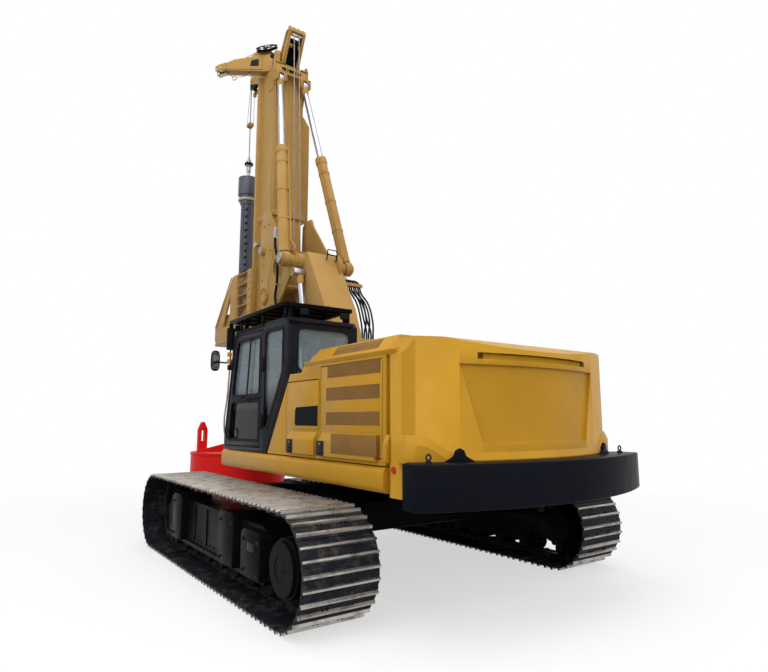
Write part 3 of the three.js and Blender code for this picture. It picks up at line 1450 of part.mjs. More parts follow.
addPiece(gateGroup, 'bucket_gate', bucketGate(), looks.red);

rig.updateMatrixWorld(true);
const bounds = new THREE.Box3().setFromObject(rig, true);
ground.position.x -= (bounds.min.x + bounds.max.x) / 2;
ground.position.y -= (bounds.min.y + bounds.max.y) / 2;
ground.position.z -= bounds.min.z;

export default rig;
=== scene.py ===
# Rotary piling rig: finishes, detailed pieces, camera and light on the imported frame.
# Metres, +X forward, +Y left, +Z up. Places are given from the slew axis, through at().
import json
import math
import random

import bmesh
import bpy
from mathutils import Matrix, Vector, geometry


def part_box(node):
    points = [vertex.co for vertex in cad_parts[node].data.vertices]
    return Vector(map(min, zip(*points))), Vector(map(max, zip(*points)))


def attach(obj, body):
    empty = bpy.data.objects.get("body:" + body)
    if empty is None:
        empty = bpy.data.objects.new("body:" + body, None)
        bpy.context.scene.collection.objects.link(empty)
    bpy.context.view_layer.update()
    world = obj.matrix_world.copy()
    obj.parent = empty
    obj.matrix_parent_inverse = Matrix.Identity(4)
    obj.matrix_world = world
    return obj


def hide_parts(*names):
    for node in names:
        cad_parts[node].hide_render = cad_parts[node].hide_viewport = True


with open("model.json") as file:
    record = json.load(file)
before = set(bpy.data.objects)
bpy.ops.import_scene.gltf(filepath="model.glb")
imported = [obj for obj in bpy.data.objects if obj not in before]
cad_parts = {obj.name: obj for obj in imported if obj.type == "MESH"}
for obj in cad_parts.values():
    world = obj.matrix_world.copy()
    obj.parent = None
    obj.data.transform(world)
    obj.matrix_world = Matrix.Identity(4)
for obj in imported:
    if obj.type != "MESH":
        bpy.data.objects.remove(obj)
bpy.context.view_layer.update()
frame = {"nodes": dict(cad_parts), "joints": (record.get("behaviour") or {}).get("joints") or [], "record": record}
print("frame loaded")

scene = bpy.context.scene
nodes = frame["nodes"]
joints = {joint["name"]: joint for joint in frame["joints"]}
slewX = joints["slew"]["pos_m"][0]
random.seed(7)

bodyOf = {}
for bodyName, members in frame["record"]["behaviour"]["bodies"].items():
    for member in members:
        bodyOf[member] = bodyName
slotOf = {entry["node"]: entry["material_slot"] for entry in frame["record"]["subparts"]}


def at(x, y, z):
    return Vector((slewX + x, y, z))


# ---- finishes

def newMaterial(name):
    material = bpy.data.materials.new(name)
    material.use_nodes = True
    shader = material.node_tree.nodes["Principled BSDF"]
    return material, material.node_tree, shader


def objectNoise(tree, scale, detail=4.0, roughness=0.55, stretch=(1, 1, 1)):
    place = tree.nodes.new("ShaderNodeTexCoord")
    mapping = tree.nodes.new("ShaderNodeMapping")
    mapping.inputs["Scale"].default_value = stretch
    noise = tree.nodes.new("ShaderNodeTexNoise")
    noise.inputs["Scale"].default_value = scale
    noise.inputs["Detail"].default_value = detail
    noise.inputs["Roughness"].default_value = roughness
    tree.links.new(place.outputs["Object"], mapping.inputs["Vector"])
    tree.links.new(mapping.outputs["Vector"], noise.inputs["Vector"])
    return noise.outputs["Fac"]


def ramp(tree, value, low, high, lowOut=0.0, highOut=1.0):
    node = tree.nodes.new("ShaderNodeMapRange")
    node.clamp = True
    node.inputs["From Min"].default_value = low
    node.inputs["From Max"].default_value = high
    node.inputs["To Min"].default_value = lowOut
    node.inputs["To Max"].default_value = highOut
    tree.links.new(value, node.inputs["Value"])
    return node.outputs["Result"]


def multiply(tree, first, second):
    node = tree.nodes.new("ShaderNodeMath")
    node.operation = "MULTIPLY"
    tree.links.new(first, node.inputs[0])
    if isinstance(second, float):
        node.inputs[1].default_value = second
    else:
        tree.links.new(second, node.inputs[1])
    return node.outputs["Value"]


def mixColour(tree, factor, first, second):
    node = tree.nodes.new("ShaderNodeMix")
    node.data_type = "RGBA"
    if isinstance(factor, float):
        node.inputs["Factor"].default_value = factor
    else:
        tree.links.new(factor, node.inputs["Factor"])
    for socket, colour in ((node.inputs[6], first), (node.inputs[7], second)):
        if isinstance(colour, tuple):
            socket.default_value = (*colour, 1)
        else:
            tree.links.new(colour, socket)
    return node.outputs[2]


def addBump(tree, shader, height, strength, distance=0.01):
    bump = tree.nodes.new("ShaderNodeBump")
    bump.inputs["Strength"].default_value = strength
    bump.inputs["Distance"].default_value = distance
    tree.links.new(height, bump.inputs["Height"])
    tree.links.new(bump.outputs["Normal"], shader.inputs["Normal"])


def scaled(colour, amount):
    return tuple(channel * amount for channel in colour)


def heightOf(tree):
    place = tree.nodes.new("ShaderNodeTexCoord")
    split = tree.nodes.new("ShaderNodeSeparateXYZ")
    tree.links.new(place.outputs["Object"], split.inputs["Vector"])
    return split.outputs["Z"]


# Plain numbers are set on the shader's sockets, everything else is linked to them
def feed(tree, shader, values):
    for name, value in values.items():
        if isinstance(value, (int, float)):
            shader.inputs[name].default_value = value
        else:
            tree.links.new(value, shader.inputs[name])


# Machine paint: slow tone change, fine orange peel, dust that settles low down and in patches
def paint(name, colour, roughness, dust, dustTop=1.3, coat=0.0, gloss=0.3, ior=1.3):
    material, tree, shader = newMaterial(name)
    tone = ramp(tree, objectNoise(tree, 1.7, 5), 0.35, 0.68)
    base = mixColour(tree, tone, scaled(colour, 0.93), scaled(colour, 1.06))
    low = ramp(tree, heightOf(tree), 0.1, dustTop, 1.0, 0.12)
    patches = ramp(tree, objectNoise(tree, 5.5, 7, 0.65), 0.47, 0.72)
    amount = multiply(tree, multiply(tree, low, patches), dust)
    smear = objectNoise(tree, 9, 5, 0.6, (1, 1, 0.3))
    feed(tree, shader, {
        "Base Color": mixColour(tree, amount, base, (0.33, 0.27, 0.2)),
        "Roughness": ramp(tree, smear, 0.3, 0.75, roughness * 0.82, roughness * 1.25),
        "Specular IOR Level": gloss, "IOR": ior, "Coat Weight": coat, "Coat Roughness": 0.12})
    addBump(tree, shader, objectNoise(tree, 160, 2), 0.04, 0.004)
    return material


# Bare or worn steel: brushed tone, rust and grime in patches
def steel(name, colour, roughness, grime, metallic=1.0, stretch=(1, 1, 1)):
    material, tree, shader = newMaterial(name)
    tone = ramp(tree, objectNoise(tree, 14, 6, 0.6, stretch), 0.3, 0.7)
    base = mixColour(tree, tone, scaled(colour, 0.8), scaled(colour, 1.15))
    patches = ramp(tree, objectNoise(tree, 6, 8, 0.7), 0.5, 0.7)
    wear = objectNoise(tree, 22, 4, 0.6, stretch)
    feed(tree, shader, {
        "Base Color": mixColour(tree, multiply(tree, patches, grime), base, (0.09, 0.06, 0.04)),
        "Roughness": ramp(tree, wear, 0.3, 0.7, roughness * 0.75, roughness * 1.3), "Metallic": metallic})
    addBump(tree, shader, objectNoise(tree, 90, 5, 0.65), 0.12, 0.004)
    return material


# Track shoes: dark cast steel, caked dry mud between the bars, streaks of dust on the upper run
def trackFinish(name, colour, mud, mudAmount, roughness):
    material, tree, shader = newMaterial(name)
    tone = ramp(tree, objectNoise(tree, 11, 6, 0.65), 0.3, 0.72)
    base = mixColour(tree, tone, scaled(colour, 0.7), scaled(colour, 1.3))
    cake = ramp(tree, objectNoise(tree, 7.5, 9, 0.72), 0.5, 0.62)
    caked = mixColour(tree, multiply(tree, cake, mudAmount), base, mud)
    upper = ramp(tree, heightOf(tree), 0.93, 1.03)
    streaks = ramp(tree, objectNoise(tree, 9, 8, 0.7, (1, 0.35, 1)), 0.38, 0.64, 0.08, 0.62)
    feed(tree, shader, {
        "Base Color": mixColour(tree, multiply(tree, upper, streaks), caked, scaled(mud, 0.85)),
        "Roughness": ramp(tree, cake, 0, 1, roughness, 0.9), "IOR": 1.15})
    addBump(tree, shader, objectNoise(tree, 45, 8, 0.7), 0.35, 0.008)
    return material


def rubber(name, colour, roughness=0.55):
    material, tree, shader = newMaterial(name)
    tone = ramp(tree, objectNoise(tree, 8, 4), 0.3, 0.7)
    wear = objectNoise(tree, 30, 3)
    feed(tree, shader, {
        "Base Color": mixColour(tree, tone, scaled(colour, 0.8), scaled(colour, 1.35)),
        "Roughness": ramp(tree, wear, 0.3, 0.7, roughness * 0.85, roughness * 1.15), "IOR": 1.12})
    addBump(tree, shader, objectNoise(tree, 240, 2), 0.06, 0.002)
    return material


# Glass: darkened by the shade factor low down, painted shade, and at its full tint higher up, a painted reflection
# of the sky
def glass(name, tint, clear, shade=0.06):
    material, tree, shader = newMaterial(name)
    film = ramp(tree, objectNoise(tree, 1.4, 3, 0.5), 0.3, 0.8)
    pane = mixColour(tree, film, scaled(tint, 0.9), scaled(tint, 1.08))
    # Height mask: painted shade below 1.95 m, painted sky reflection above 2.3 m
    upper = ramp(tree, heightOf(tree), 1.95, 2.3)
    feed(tree, shader, {
        "Base Color": mixColour(tree, upper, scaled(tint, shade), pane), "Roughness": 0.03,
        "Transmission Weight": clear, "IOR": 1.16})
    return material


# Woven seat cloth
def cloth(name, colour):
    material, tree, shader = newMaterial(name)
    place = tree.nodes.new("ShaderNodeTexCoord")
    weave = tree.nodes.new("ShaderNodeTexChecker")
    weave.inputs["Scale"].default_value = 420
    tree.links.new(place.outputs["Object"], weave.inputs["Vector"])
    shade = mixColour(tree, weave.outputs["Fac"], scaled(colour, 0.75), scaled(colour, 1.2))
    worn = ramp(tree, objectNoise(tree, 12, 4), 0.3, 0.7)
    feed(tree, shader, {
        "Base Color": mixColour(tree, multiply(tree, worn, 0.3), shade, scaled(colour, 1.8)),
        "Roughness": 0.9, "Sheen Weight": 0.3})
    addBump(tree, shader, weave.outputs["Fac"], 0.3, 0.001)
    return material


# Perforated screen: rows of small round holes over a dark inside; the dark brown of the sheet and the near black
# of the holes are painted shade of the louvres and of the inside behind them
def screen(name, colour, hole, pitch):
    material, tree, shader = newMaterial(name)
    place = tree.nodes.new("ShaderNodeTexCoord")
    cells = tree.nodes.new("ShaderNodeTexVoronoi")
    cells.inputs["Randomness"].default_value = 0.0
    cells.inputs["Scale"].default_value = 1 / pitch
    tree.links.new(place.outputs["Object"], cells.inputs["Vector"])
    solid = ramp(tree, cells.outputs["Distance"], 0.26, 0.34)
    tone = ramp(tree, objectNoise(tree, 3, 5), 0.3, 0.7)
    sheet = mixColour(tree, tone, scaled(colour, 0.88), scaled(colour, 1.1))
    feed(tree, shader, {
        "Base Color": mixColour(tree, solid, hole, sheet), "Roughness": 0.6, "Specular IOR Level": 0.15})
    addBump(tree, shader, solid, 0.3, 0.003)
    return material


yellow = (0.51, 0.262, 0.017)
tan = (0.43, 0.25, 0.072)
finishes = {
    "bodyPaint": paint("body_paint", yellow, 0.36, dust=0.06, coat=0.03, gloss=0.5, ior=1.2),
    "mastPaint": paint("mast_paint", tan, 0.42, dust=0.15, gloss=0.5, ior=1.2),
    "blackPaint": paint("black_paint", (0.006, 0.006, 0.008), 0.3, dust=0.03, dustTop=1.6, gloss=0.5,
                        ior=1.07),
    "ballastPaint": paint("ballast_paint", (0.0075, 0.0085, 0.013), 0.36, dust=0.03, gloss=0.5, ior=1.07),
    "cabPaint": paint("cab_paint", (0.013, 0.014, 0.021), 0.34, dust=0.03, gloss=0.5, ior=1.13),
    "redPaint": paint("red_paint", (0.72, 0.015, 0.012), 0.4, dust=0.08, gloss=0.5, ior=1.15),
    "kellyPaint": steel("kelly_steel", (0.085, 0.098, 0.13), 0.5, grime=0.3, metallic=0.3,
                        stretch=(1, 1, 0.1)),
    "shoeSteel": trackFinish("shoe_steel", (0.014, 0.015, 0.019), (0.27, 0.235, 0.2), 0.16, 0.4),
    "wornSteel": steel("worn_steel", (0.42, 0.40, 0.375), 0.42, grime=0.85, stretch=(1, 0.2, 1)),
    # Chrome: its own steel grey, with a blue cast that is a painted reflection of the sky
    "chrome": steel("rod_chrome", (0.50, 0.50, 0.60), 0.3, grime=0.03, stretch=(1, 1, 0.2)),
    "boltSteel": steel("bolt_steel", (0.4, 0.39, 0.37), 0.4, grime=0.3),
    "rubber": rubber("black_rubber", (0.012, 0.012, 0.014)),
    "ropeSteel": steel("rope_steel", (0.25, 0.24, 0.23), 0.5, grime=0.4),
    "plastic": rubber("dark_plastic", (0.02, 0.02, 0.023), 0.45),
    "seatCloth": cloth("seat_cloth", (0.03, 0.03, 0.035)),
    "trim": rubber("cab_trim", (0.30, 0.27, 0.22), 0.6),
    # Louvre screen: dark brown sheet and near-black holes, painted shade
    "screen": screen("louvre_screen", (0.25, 0.125, 0.030), (0.06, 0.03, 0.008), 0.014),
    # Cab glass: near black low down and pale higher up, painted shade and a painted sky reflection
    "glass": glass("cab_glass", (0.50, 0.60, 0.66), 0.80),
    "amber": glass("amber_lens", (0.8, 0.32, 0.04), 0.3, 1.0),
    "redLens": glass("red_lens", (0.7, 0.03, 0.02), 0.2, 1.0),
    "lampGlass": glass("lamp_glass", (0.8, 0.82, 0.85), 0.5, 1.0),
    "plate": paint("blank_plate", (0.5, 0.48, 0.42), 0.5, dust=0.1),
    # Pale fill for the sheave holes: painted light of the backdrop
    "paleMetal": paint("pale_metal", (0.8, 0.8, 0.8), 0.5, dust=0.05),
    "mud": rubber("dry_mud", (0.24, 0.19, 0.13), 0.95),
}
finishOfSlot = {
    "body_yellow": "bodyPaint", "mast_yellow": "mastPaint", "frame_black": "blackPaint",
    "ballast_black": "ballastPaint", "track_steel": "shoeSteel", "cab_grey": "cabPaint",
    "cab_glass": "glass", "rod_chrome": "chrome", "kelly_grey": "kellyPaint", "tool_red": "redPaint",
    "sheave_black": "blackPaint", "hose_rubber": "rubber", "rope_steel": "ropeSteel",
    "seat_cloth": "seatCloth",
}
print("finishes made")


# ---- making pieces

def finishPiece(name, bm, finish, body, sharp=35, outward=True):
    if outward:
        bmesh.ops.recalc_face_normals(bm, faces=bm.faces)
    mesh = bpy.data.meshes.new(name)
    bm.to_mesh(mesh)
    bm.free()
    mesh.polygons.foreach_set("use_smooth", [True] * len(mesh.polygons))
    mesh.set_sharp_from_angle(angle=math.radians(sharp))
    for key in (finish if isinstance(finish, tuple) else (finish,)):
        mesh.materials.append(finishes[key])
    piece = bpy.data.objects.new(name, mesh)
    scene.collection.objects.link(piece)
    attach(piece, body)
    return piece


# Merged copy of a CAD node, with flat faces whole again
def nodeCopy(node):
    bm = bmesh.new()
    bm.from_mesh(nodes[node].data)
    bmesh.ops.remove_doubles(bm, verts=bm.verts, dist=1e-5)
    bmesh.ops.dissolve_limit(bm, angle_limit=math.radians(1), verts=bm.verts, edges=bm.edges)
    return bm


def soften(bm, edges, width, segments=2, clamp=False):
    bmesh.ops.bevel(bm, geom=list(edges), offset=width, offset_type="OFFSET", segments=segments,
                    profile=0.5,
                    affect="EDGES", clamp_overlap=clamp, material=-1)


# Each edge once, in the same order on every run
def edgesOf(verts):
    return list(dict.fromkeys(edge for vert in verts for edge in vert.link_edges))


# A CAD node's own shape with its edges eased, standing for the node
def easedCopy(node, width, segments=2, corner=28):
    bm = nodeCopy(node)
    edges = [e for e in bm.edges if e.is_manifold and e.calc_face_angle(0) > math.radians(corner)
             and e.calc_length() > 2.5 * width]
    soften(bm, edges, width, segments, clamp=True)
    slot = slotOf[node]
    piece = finishPiece(f"{node}_shape", bm, finishOfSlot[slot], bodyOf[node], 32, outward=False)
    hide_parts(node)


def addBox(bm, low, high, ease=0.0, segments=2):
    made = bmesh.ops.create_cube(bm, size=1)
    size = [b - a for a, b in zip(low, high)]
    middle = [(a + b) / 2 for a, b in zip(low, high)]
    bmesh.ops.scale(bm, vec=size, verts=made["verts"])
    bmesh.ops.translate(bm, vec=middle, verts=made["verts"])
    if ease:
        soften(bm, edgesOf(made["verts"]), ease, segments)


def turnTo(direction):
    return Vector(direction).to_track_quat("Z", "Y").to_matrix().to_4x4()


def addRod(bm, start, end, radius, segments=24, endRadius=None, ease=0.0):
    start, end = Vector(start), Vector(end)
    place = Matrix.Translation((start + end) / 2) @ turnTo(end - start)
    made = bmesh.ops.create_cone(bm, cap_ends=True, segments=segments, radius1=radius,
                                 radius2=radius if endRadius is None else endRadius,
                                 depth=(end - start).length, matrix=place)
    if ease:
        rims = [e for e in edgesOf(made["verts"])
                if len(e.link_faces) == 2 and max(len(f.verts) for f in e.link_faces) > 4]
        soften(bm, rims, ease)


# An outline of 3-D points in one plane, drawn out by a vector
def addPlate(bm, points, drawn, ease=0.0, segments=2):
    face = bm.faces.new([bm.verts.new(point) for point in points])
    made = bmesh.ops.extrude_face_region(bm, geom=[face])
    fresh = [g for g in made["geom"] if isinstance(g, bmesh.types.BMVert)]
    bmesh.ops.translate(bm, vec=drawn, verts=fresh)
    if ease:
        sharpest = math.radians(25)
        edges = [e for e in edgesOf(list(face.verts) + fresh) if e.calc_face_angle(0) > sharpest]
        soften(bm, edges, ease, segments)


# A profile of (radius, height) turned about an axis through a point; it starts and ends on the axis
def addTurned(bm, profile, centre, axis, steps=32):
    turn = turnTo(axis)
    centre = Vector(centre)
    verts = [bm.verts.new(centre + turn @ Vector((radius, 0, height))) for radius, height in profile]
    edges = [bm.edges.new(pair) for pair in zip(verts, verts[1:])]
    bmesh.ops.spin(bm, geom=verts + edges, cent=centre, axis=turn @ Vector((0, 0, 1)), dvec=(0, 0, 0),
                   angle=2 * math.pi, steps=steps, use_merge=True)
    bmesh.ops.remove_doubles(bm, verts=bm.verts, dist=1e-6)


# A hexagon bolt head with its washer, standing on a face
def addBolt(bm, place, axis, size=0.012):
    place, axis = Vector(place), Vector(axis).normalized()
    addRod(bm, place, place + axis * size * 0.2, size * 1.5, 12)
    addRod(bm, place, place + axis * size, size, 6)


def addBoltRing(bm, centre, axis, radius, count, size=0.012):
    turn = turnTo(axis)
    for i in range(count):
        angle = 2 * math.pi * i / count
        place = Vector(centre) + turn @ Vector((radius * math.cos(angle), radius * math.sin(angle), 0))
        addBolt(bm, place, axis, size)


def addTorus(bm, centre, axis, radius, thickness, steps=32, sides=10):
    turn = turnTo(axis)
    centre = Vector(centre)
    ring = bmesh.ops.create_circle(bm, segments=sides, radius=thickness,
                                   matrix=Matrix.Translation(centre + turn @ Vector((radius, 0, 0)))
                                   @ turn @ Matrix.Rotation(math.pi / 2, 4, "X"))
    bmesh.ops.spin(bm, geom=ring["verts"] + list(edgesOf(ring["verts"])), cent=centre,
                   axis=turn @ Vector((0, 0, 1)), dvec=(0, 0, 0),
                   angle=2 * math.pi, steps=steps, use_merge=True)


# Round bars or hoses along smooth routes, as one curve
def curvePiece(name, routes, radius, finish, body, smooth=True, sides=3):
    curve = bpy.data.curves.new(name, "CURVE")
    curve.dimensions = "3D"
    curve.bevel_depth = radius
    curve.bevel_resolution = sides
    curve.use_fill_caps = True
    curve.resolution_u = 6
    for route in routes:
        spline = curve.splines.new("BEZIER" if smooth else "POLY")
        points = spline.bezier_points if smooth else spline.points
        points.add(len(route) - 1)
        for point, place in zip(points, route):
            if smooth:
                point.co = place
                point.handle_left_type = point.handle_right_type = "AUTO"
            else:
                point.co = (*place, 1)
    curve.materials.append(finishes[finish])
    piece = bpy.data.objects.new(name, curve)
    scene.collection.objects.link(piece)
    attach(piece, body)
    return piece


# A box given for the left side, or its mirror image on the right
def sideBox(bm, sign, low, high, ease=0.0):
    y = sorted((sign * low[1], sign * high[1]))
    addBox(bm, at(low[0], y[0], low[2]), at(high[0], y[1], high[2]), ease)


# ---- tracks

track = {"pitch": 0.203, "pinRadius": 0.439, "wheelX": 2.1, "axleZ": 0.525, "middle": 1.86,
         "plateLow": 0.046, "plateTop": 0.058, "tip": 0.0818, "halfWidth": 0.388, "barSpacing": 0.056,
         "lip": 0.030}
trackLoop = 4 * track["wheelX"] + 2 * math.pi * track["pinRadius"]
shoeCount = round(trackLoop / track["pitch"])


# Turn and place of a shoe at a length along the loop: X along the travel, Z outwards
def shoePlace(length, sideY):
    straight, bend = 2 * track["wheelX"], math.pi * track["pinRadius"]
    rest = length % trackLoop
    if rest < straight:
        x, z, turn = -track["wheelX"] + rest, track["axleZ"] + track["pinRadius"], 0.0
    elif rest < straight + bend:
        turn = (rest - straight) / track["pinRadius"]
        x = track["wheelX"] + track["pinRadius"] * math.sin(turn)
        z = track["axleZ"] + track["pinRadius"] * math.cos(turn)
    elif rest < 2 * straight + bend:
        x, z, turn = track["wheelX"] - (rest - straight - bend), track["axleZ"] - track["pinRadius"], math.pi
    else:
        turn = math.pi + (rest - 2 * straight - bend) / track["pinRadius"]
        x = -track["wheelX"] + track["pinRadius"] * math.sin(turn)
        z = track["axleZ"] + track["pinRadius"] * math.cos(turn)
    return Matrix.Translation(at(x, sideY, z)) @ Matrix.Rotation(turn, 4, "Y")


def shoeMesh():
    bm = bmesh.new()
    low, top, tip, bar = track["plateLow"], track["plateTop"], track["tip"], track["barSpacing"]
    half = track["pitch"] / 2 - 0.003
    lip = track["lip"]
    section = [(-half - lip, low - 0.014), (-half + 0.012, low - 0.014), (-half + 0.024, low), (half, low),
               (half, top - 0.004), (bar + 0.018, top), (bar + 0.009, tip),
               (bar - 0.009, tip), (bar - 0.018, top), (-bar + 0.018, top), (-bar + 0.009, tip),
               (-bar - 0.009, tip), (-bar - 0.018, top), (-half, top - 0.004), (-half, low - 0.003),
               (-half - lip, low - 0.003)]
    addPlate(bm, [(x, -track["halfWidth"], z) for x, z in section], (0, 2 * track["halfWidth"], 0))
    bmesh.ops.recalc_face_normals(bm, faces=bm.faces)
    for face in bm.faces:
        worn = abs(face.normal.y) < 0.5 and face.calc_center_median().z > top + 0.006
        face.material_index = 1 if worn else 0
    for x in (-0.028, 0.028):
        for y in (-0.125, 0.125):
            for side in (-0.022, 0.022):
                addRod(bm, (x, y + side, top - 0.002), (x, y + side, top + 0.010), 0.011, 6)
    for y in (-0.3, 0.3, 0.0):
        addBox(bm, (-0.014, y - 0.03, low - 0.001), (0.014, y + 0.03, top + 0.0015))
    mesh = bpy.data.meshes.new("shoe")
    bm.to_mesh(mesh)
    bm.free()
    return mesh


def linkMesh():
    bm = bmesh.new()
    for side in (-1, 1):
        y = side * 0.062
        outline = [(-0.125, -0.028), (-0.09, -0.040), (0.09, -0.040), (0.125, -0.028), (0.125, 0.012),
                   (0.075, 0.042), (-0.075, 0.042), (-0.125, 0.012)]
        addPlate(bm, [(x, y - 0.014, z) for x, z in outline], (0, 0.028, 0), ease=0.004, segments=1)
        addRod(bm, (0.1015, y - 0.022, 0), (0.1015, y + 0.022, 0), 0.028, 14)
    addRod(bm, (0.1015, -0.088, 0), (0.1015, 0.088, 0), 0.016, 12)
    addRod(bm, (-0.1015, -0.05, 0), (-0.1015, 0.05, 0), 0.026, 14)
    mesh = bpy.data.meshes.new("link")
    bm.to_mesh(mesh)
    bm.free()
    return mesh


def repeatAlong(name, source, sideY, finish):
    bm = bmesh.new()
    for i in range(shoeCount):
        before = set(bm.verts)
        bm.from_mesh(source)
        fresh = [v for v in bm.verts if v not in before]
        place = shoePlace((i + 0.5) * trackLoop / shoeCount, sideY)
        bmesh.ops.transform(bm, matrix=place, verts=fresh)
    return finishPiece(name, bm, finish, "undercarriage", 30, outward=False)


shoe, link = shoeMesh(), linkMesh()
for side, sign in (("left", 1), ("right", -1)):
    shoes = repeatAlong(f"{side}_track_shoes", shoe, sign * track["middle"], ("shoeSteel", "wornSteel"))
    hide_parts(f"{side}_track")
    repeatAlong(f"{side}_track_links", link, sign * track["middle"], "shoeSteel")
print("tracks made")


# Dry clods left on the upper run
clods = {"count": 70, "smallest": 0.008, "largest": 0.026}


def trackClods(side, sign):
    bm = bmesh.new()
    top = track["axleZ"] + track["pinRadius"] + track["plateTop"]
    for _ in range(clods["count"]):
        x = random.uniform(-track["wheelX"], track["wheelX"])
        y = sign * track["middle"] + random.uniform(-0.35, 0.35)
        size = random.uniform(clods["smallest"], clods["largest"])
        made = bmesh.ops.create_icosphere(bm, subdivisions=1, radius=size)
        for vert in made["verts"]:
            vert.co *= random.uniform(0.75, 1.15)
        bmesh.ops.scale(bm, vec=(1.4, 1.1, 0.42), verts=made["verts"])
        bmesh.ops.translate(bm, vec=at(x, y, top + size * 0.15), verts=made["verts"])
    finishPiece(f"{side}_track_clods", bm, "mud", "undercarriage", 60)


trackClods("left", 1)
trackClods("right", -1)

# ---- track frames, wheels, rollers

rollers = {"radius": 0.078, "flange": 0.10, "count": 8, "rail": 0.399, "fromRear": 0.24, "fromFront": 0.62}


def rollerRow(side, sign):
    bm = bmesh.new()
    low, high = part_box(f"{side}_track_frame")
    first, last = low.x + rollers["fromRear"], high.x - rollers["fromFront"]
    middle = sign * track["middle"]
    z = track["axleZ"] - rollers["rail"] + rollers["radius"] + 0.002
    for i in range(rollers["count"]):
        x = first + (last - first) * i / (rollers["count"] - 1)
        profile = [(0, -0.15), (0.05, -0.15), (0.055, -0.115), (rollers["flange"], -0.11),
                   (rollers["flange"], -0.095), (rollers["radius"], -0.09), (rollers["radius"], -0.035),
                   (0.06, -0.03), (0.06, 0.03), (rollers["radius"], 0.035), (rollers["radius"], 0.09),
                   (rollers["flange"], 0.095), (rollers["flange"], 0.11), (0.055, 0.115), (0.05, 0.15),
                   (0, 0.15)]
        addTurned(bm, profile, (x, middle, z), (0, 1, 0), 24)
        for end in (-0.17, 0.13):
            addBox(bm, (x - 0.06, middle + end, z - 0.035), (x + 0.06, middle + end + 0.04, 0.34), 0.006)
    finishPiece(f"{side}_rollers", bm, "blackPaint", "undercarriage", 40)


def frameDetails(side, sign):
    outer = sign * (track["middle"] + 0.34)
    bm = bmesh.new()
    for x, wide, top in ((1.01, 0.38, 0.87), (-0.74, 0.44, 0.86), (-1.41, 0.46, 0.76)):
        for px in (x - wide / 2 + 0.05, x + wide / 2 - 0.05):
            for z in (0.36, top - 0.10):
                addBolt(bm, at(px, outer, z), (0, sign, 0), 0.014)
    for i in range(9):
        addBolt(bm, at(-0.42 + i * 0.145, sign * (track["middle"] + 0.24), 0.36), (0, sign, 0), 0.013)
    finishPiece(f"{side}_frame_bolts", bm, "plastic", "undercarriage")
    bm = bmesh.new()
    face = track["middle"] + 0.24
    for x in (-0.30, 0.12, 0.54):
        sideBox(bm, sign, (x - 0.008, face, 0.34), (x + 0.008, face + 0.012, 0.77), 0.003)
    sideBox(bm, sign, (-0.45, face - 0.006, 0.792), (0.78, face + 0.006, 0.806), 0.003)
    finishPiece(f"{side}_frame_ribs", bm, "blackPaint", "undercarriage")
    bm = bmesh.new()
    sideBox(bm, sign, (-1.52, abs(outer), 0.56), (-1.34, abs(outer) + 0.004, 0.64), 0.0015)
    finishPiece(f"{side}_frame_plate", bm, "cabPaint", "undercarriage")


sprocket = {"face": 2.20, "teeth": 14, "tips": 0.395}


# Toothed wheel and the stepped cover of its final drive, with four bolts
def driveCover(side, sign):
    centre = at(-track["wheelX"], sign * track["middle"], track["axleZ"])
    reach = sprocket["face"] - track["middle"]
    bm = bmesh.new()
    profile = [(0, 0.06), (0.262, 0.06), (0.27, 0.07), (0.27, reach - 0.045), (0.263, reach - 0.036),
               (0.247, reach - 0.034), (0.243, reach - 0.006), (0.235, reach), (0.125, reach),
               (0.12, reach - 0.006),
               (0.05, reach - 0.006), (0.045, reach - 0.002), (0, reach - 0.002)]
    addTurned(bm, profile, centre, (0, sign, 0), 48)
    outline = []
    radius = sprocket["tips"]
    for i in range(sprocket["teeth"]):
        for turn, out in ((-9.5, radius - 0.055), (-5.5, radius - 0.028), (-3, radius - 0.004),
                          (3, radius - 0.004),
                          (5.5, radius - 0.028), (9.5, radius - 0.055)):
            angle = math.radians(360 * i / sprocket["teeth"] + turn)
            outline.append((centre.x + out * math.cos(angle), centre.y - 0.03,
                            centre.z + out * math.sin(angle)))
    addPlate(bm, outline, (0, 0.06, 0), ease=0.004, segments=1)
    piece = finishPiece(f"{side}_drive", bm, "blackPaint", bodyOf[f"{side}_sprocket"], 30)
    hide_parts(f"{side}_sprocket")
    bm = bmesh.new()
    addBoltRing(bm, centre + Vector((0, sign * (reach - 0.006), 0)), (0, sign, 0), 0.085, 4, 0.009)
    finishPiece(f"{side}_drive_bolts", bm, "plastic", bodyOf[f"{side}_sprocket"])


idlerRadius = 0.391


def frontIdler(side, sign):
    centre = at(track["wheelX"], sign * track["middle"], track["axleZ"])
    bm = bmesh.new()
    rim = idlerRadius
    profile = [(0, -0.09), (0.095, -0.09), (0.1, -0.035), (0.13, -0.028), (0.31, -0.028), (0.33, -0.078),
               (rim - 0.028, -0.08), (rim - 0.028, -0.042), (rim, -0.036), (rim, 0.036),
               (rim - 0.028, 0.042),
               (rim - 0.028, 0.08), (0.33, 0.078), (0.31, 0.028), (0.13, 0.028), (0.1, 0.035),
               (0.095, 0.09), (0, 0.09)]
    addTurned(bm, profile, centre, (0, 1, 0), 56)
    piece = finishPiece(f"{side}_idler_wheel", bm, "blackPaint", bodyOf[f"{side}_idler"], 30)
    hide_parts(f"{side}_idler")


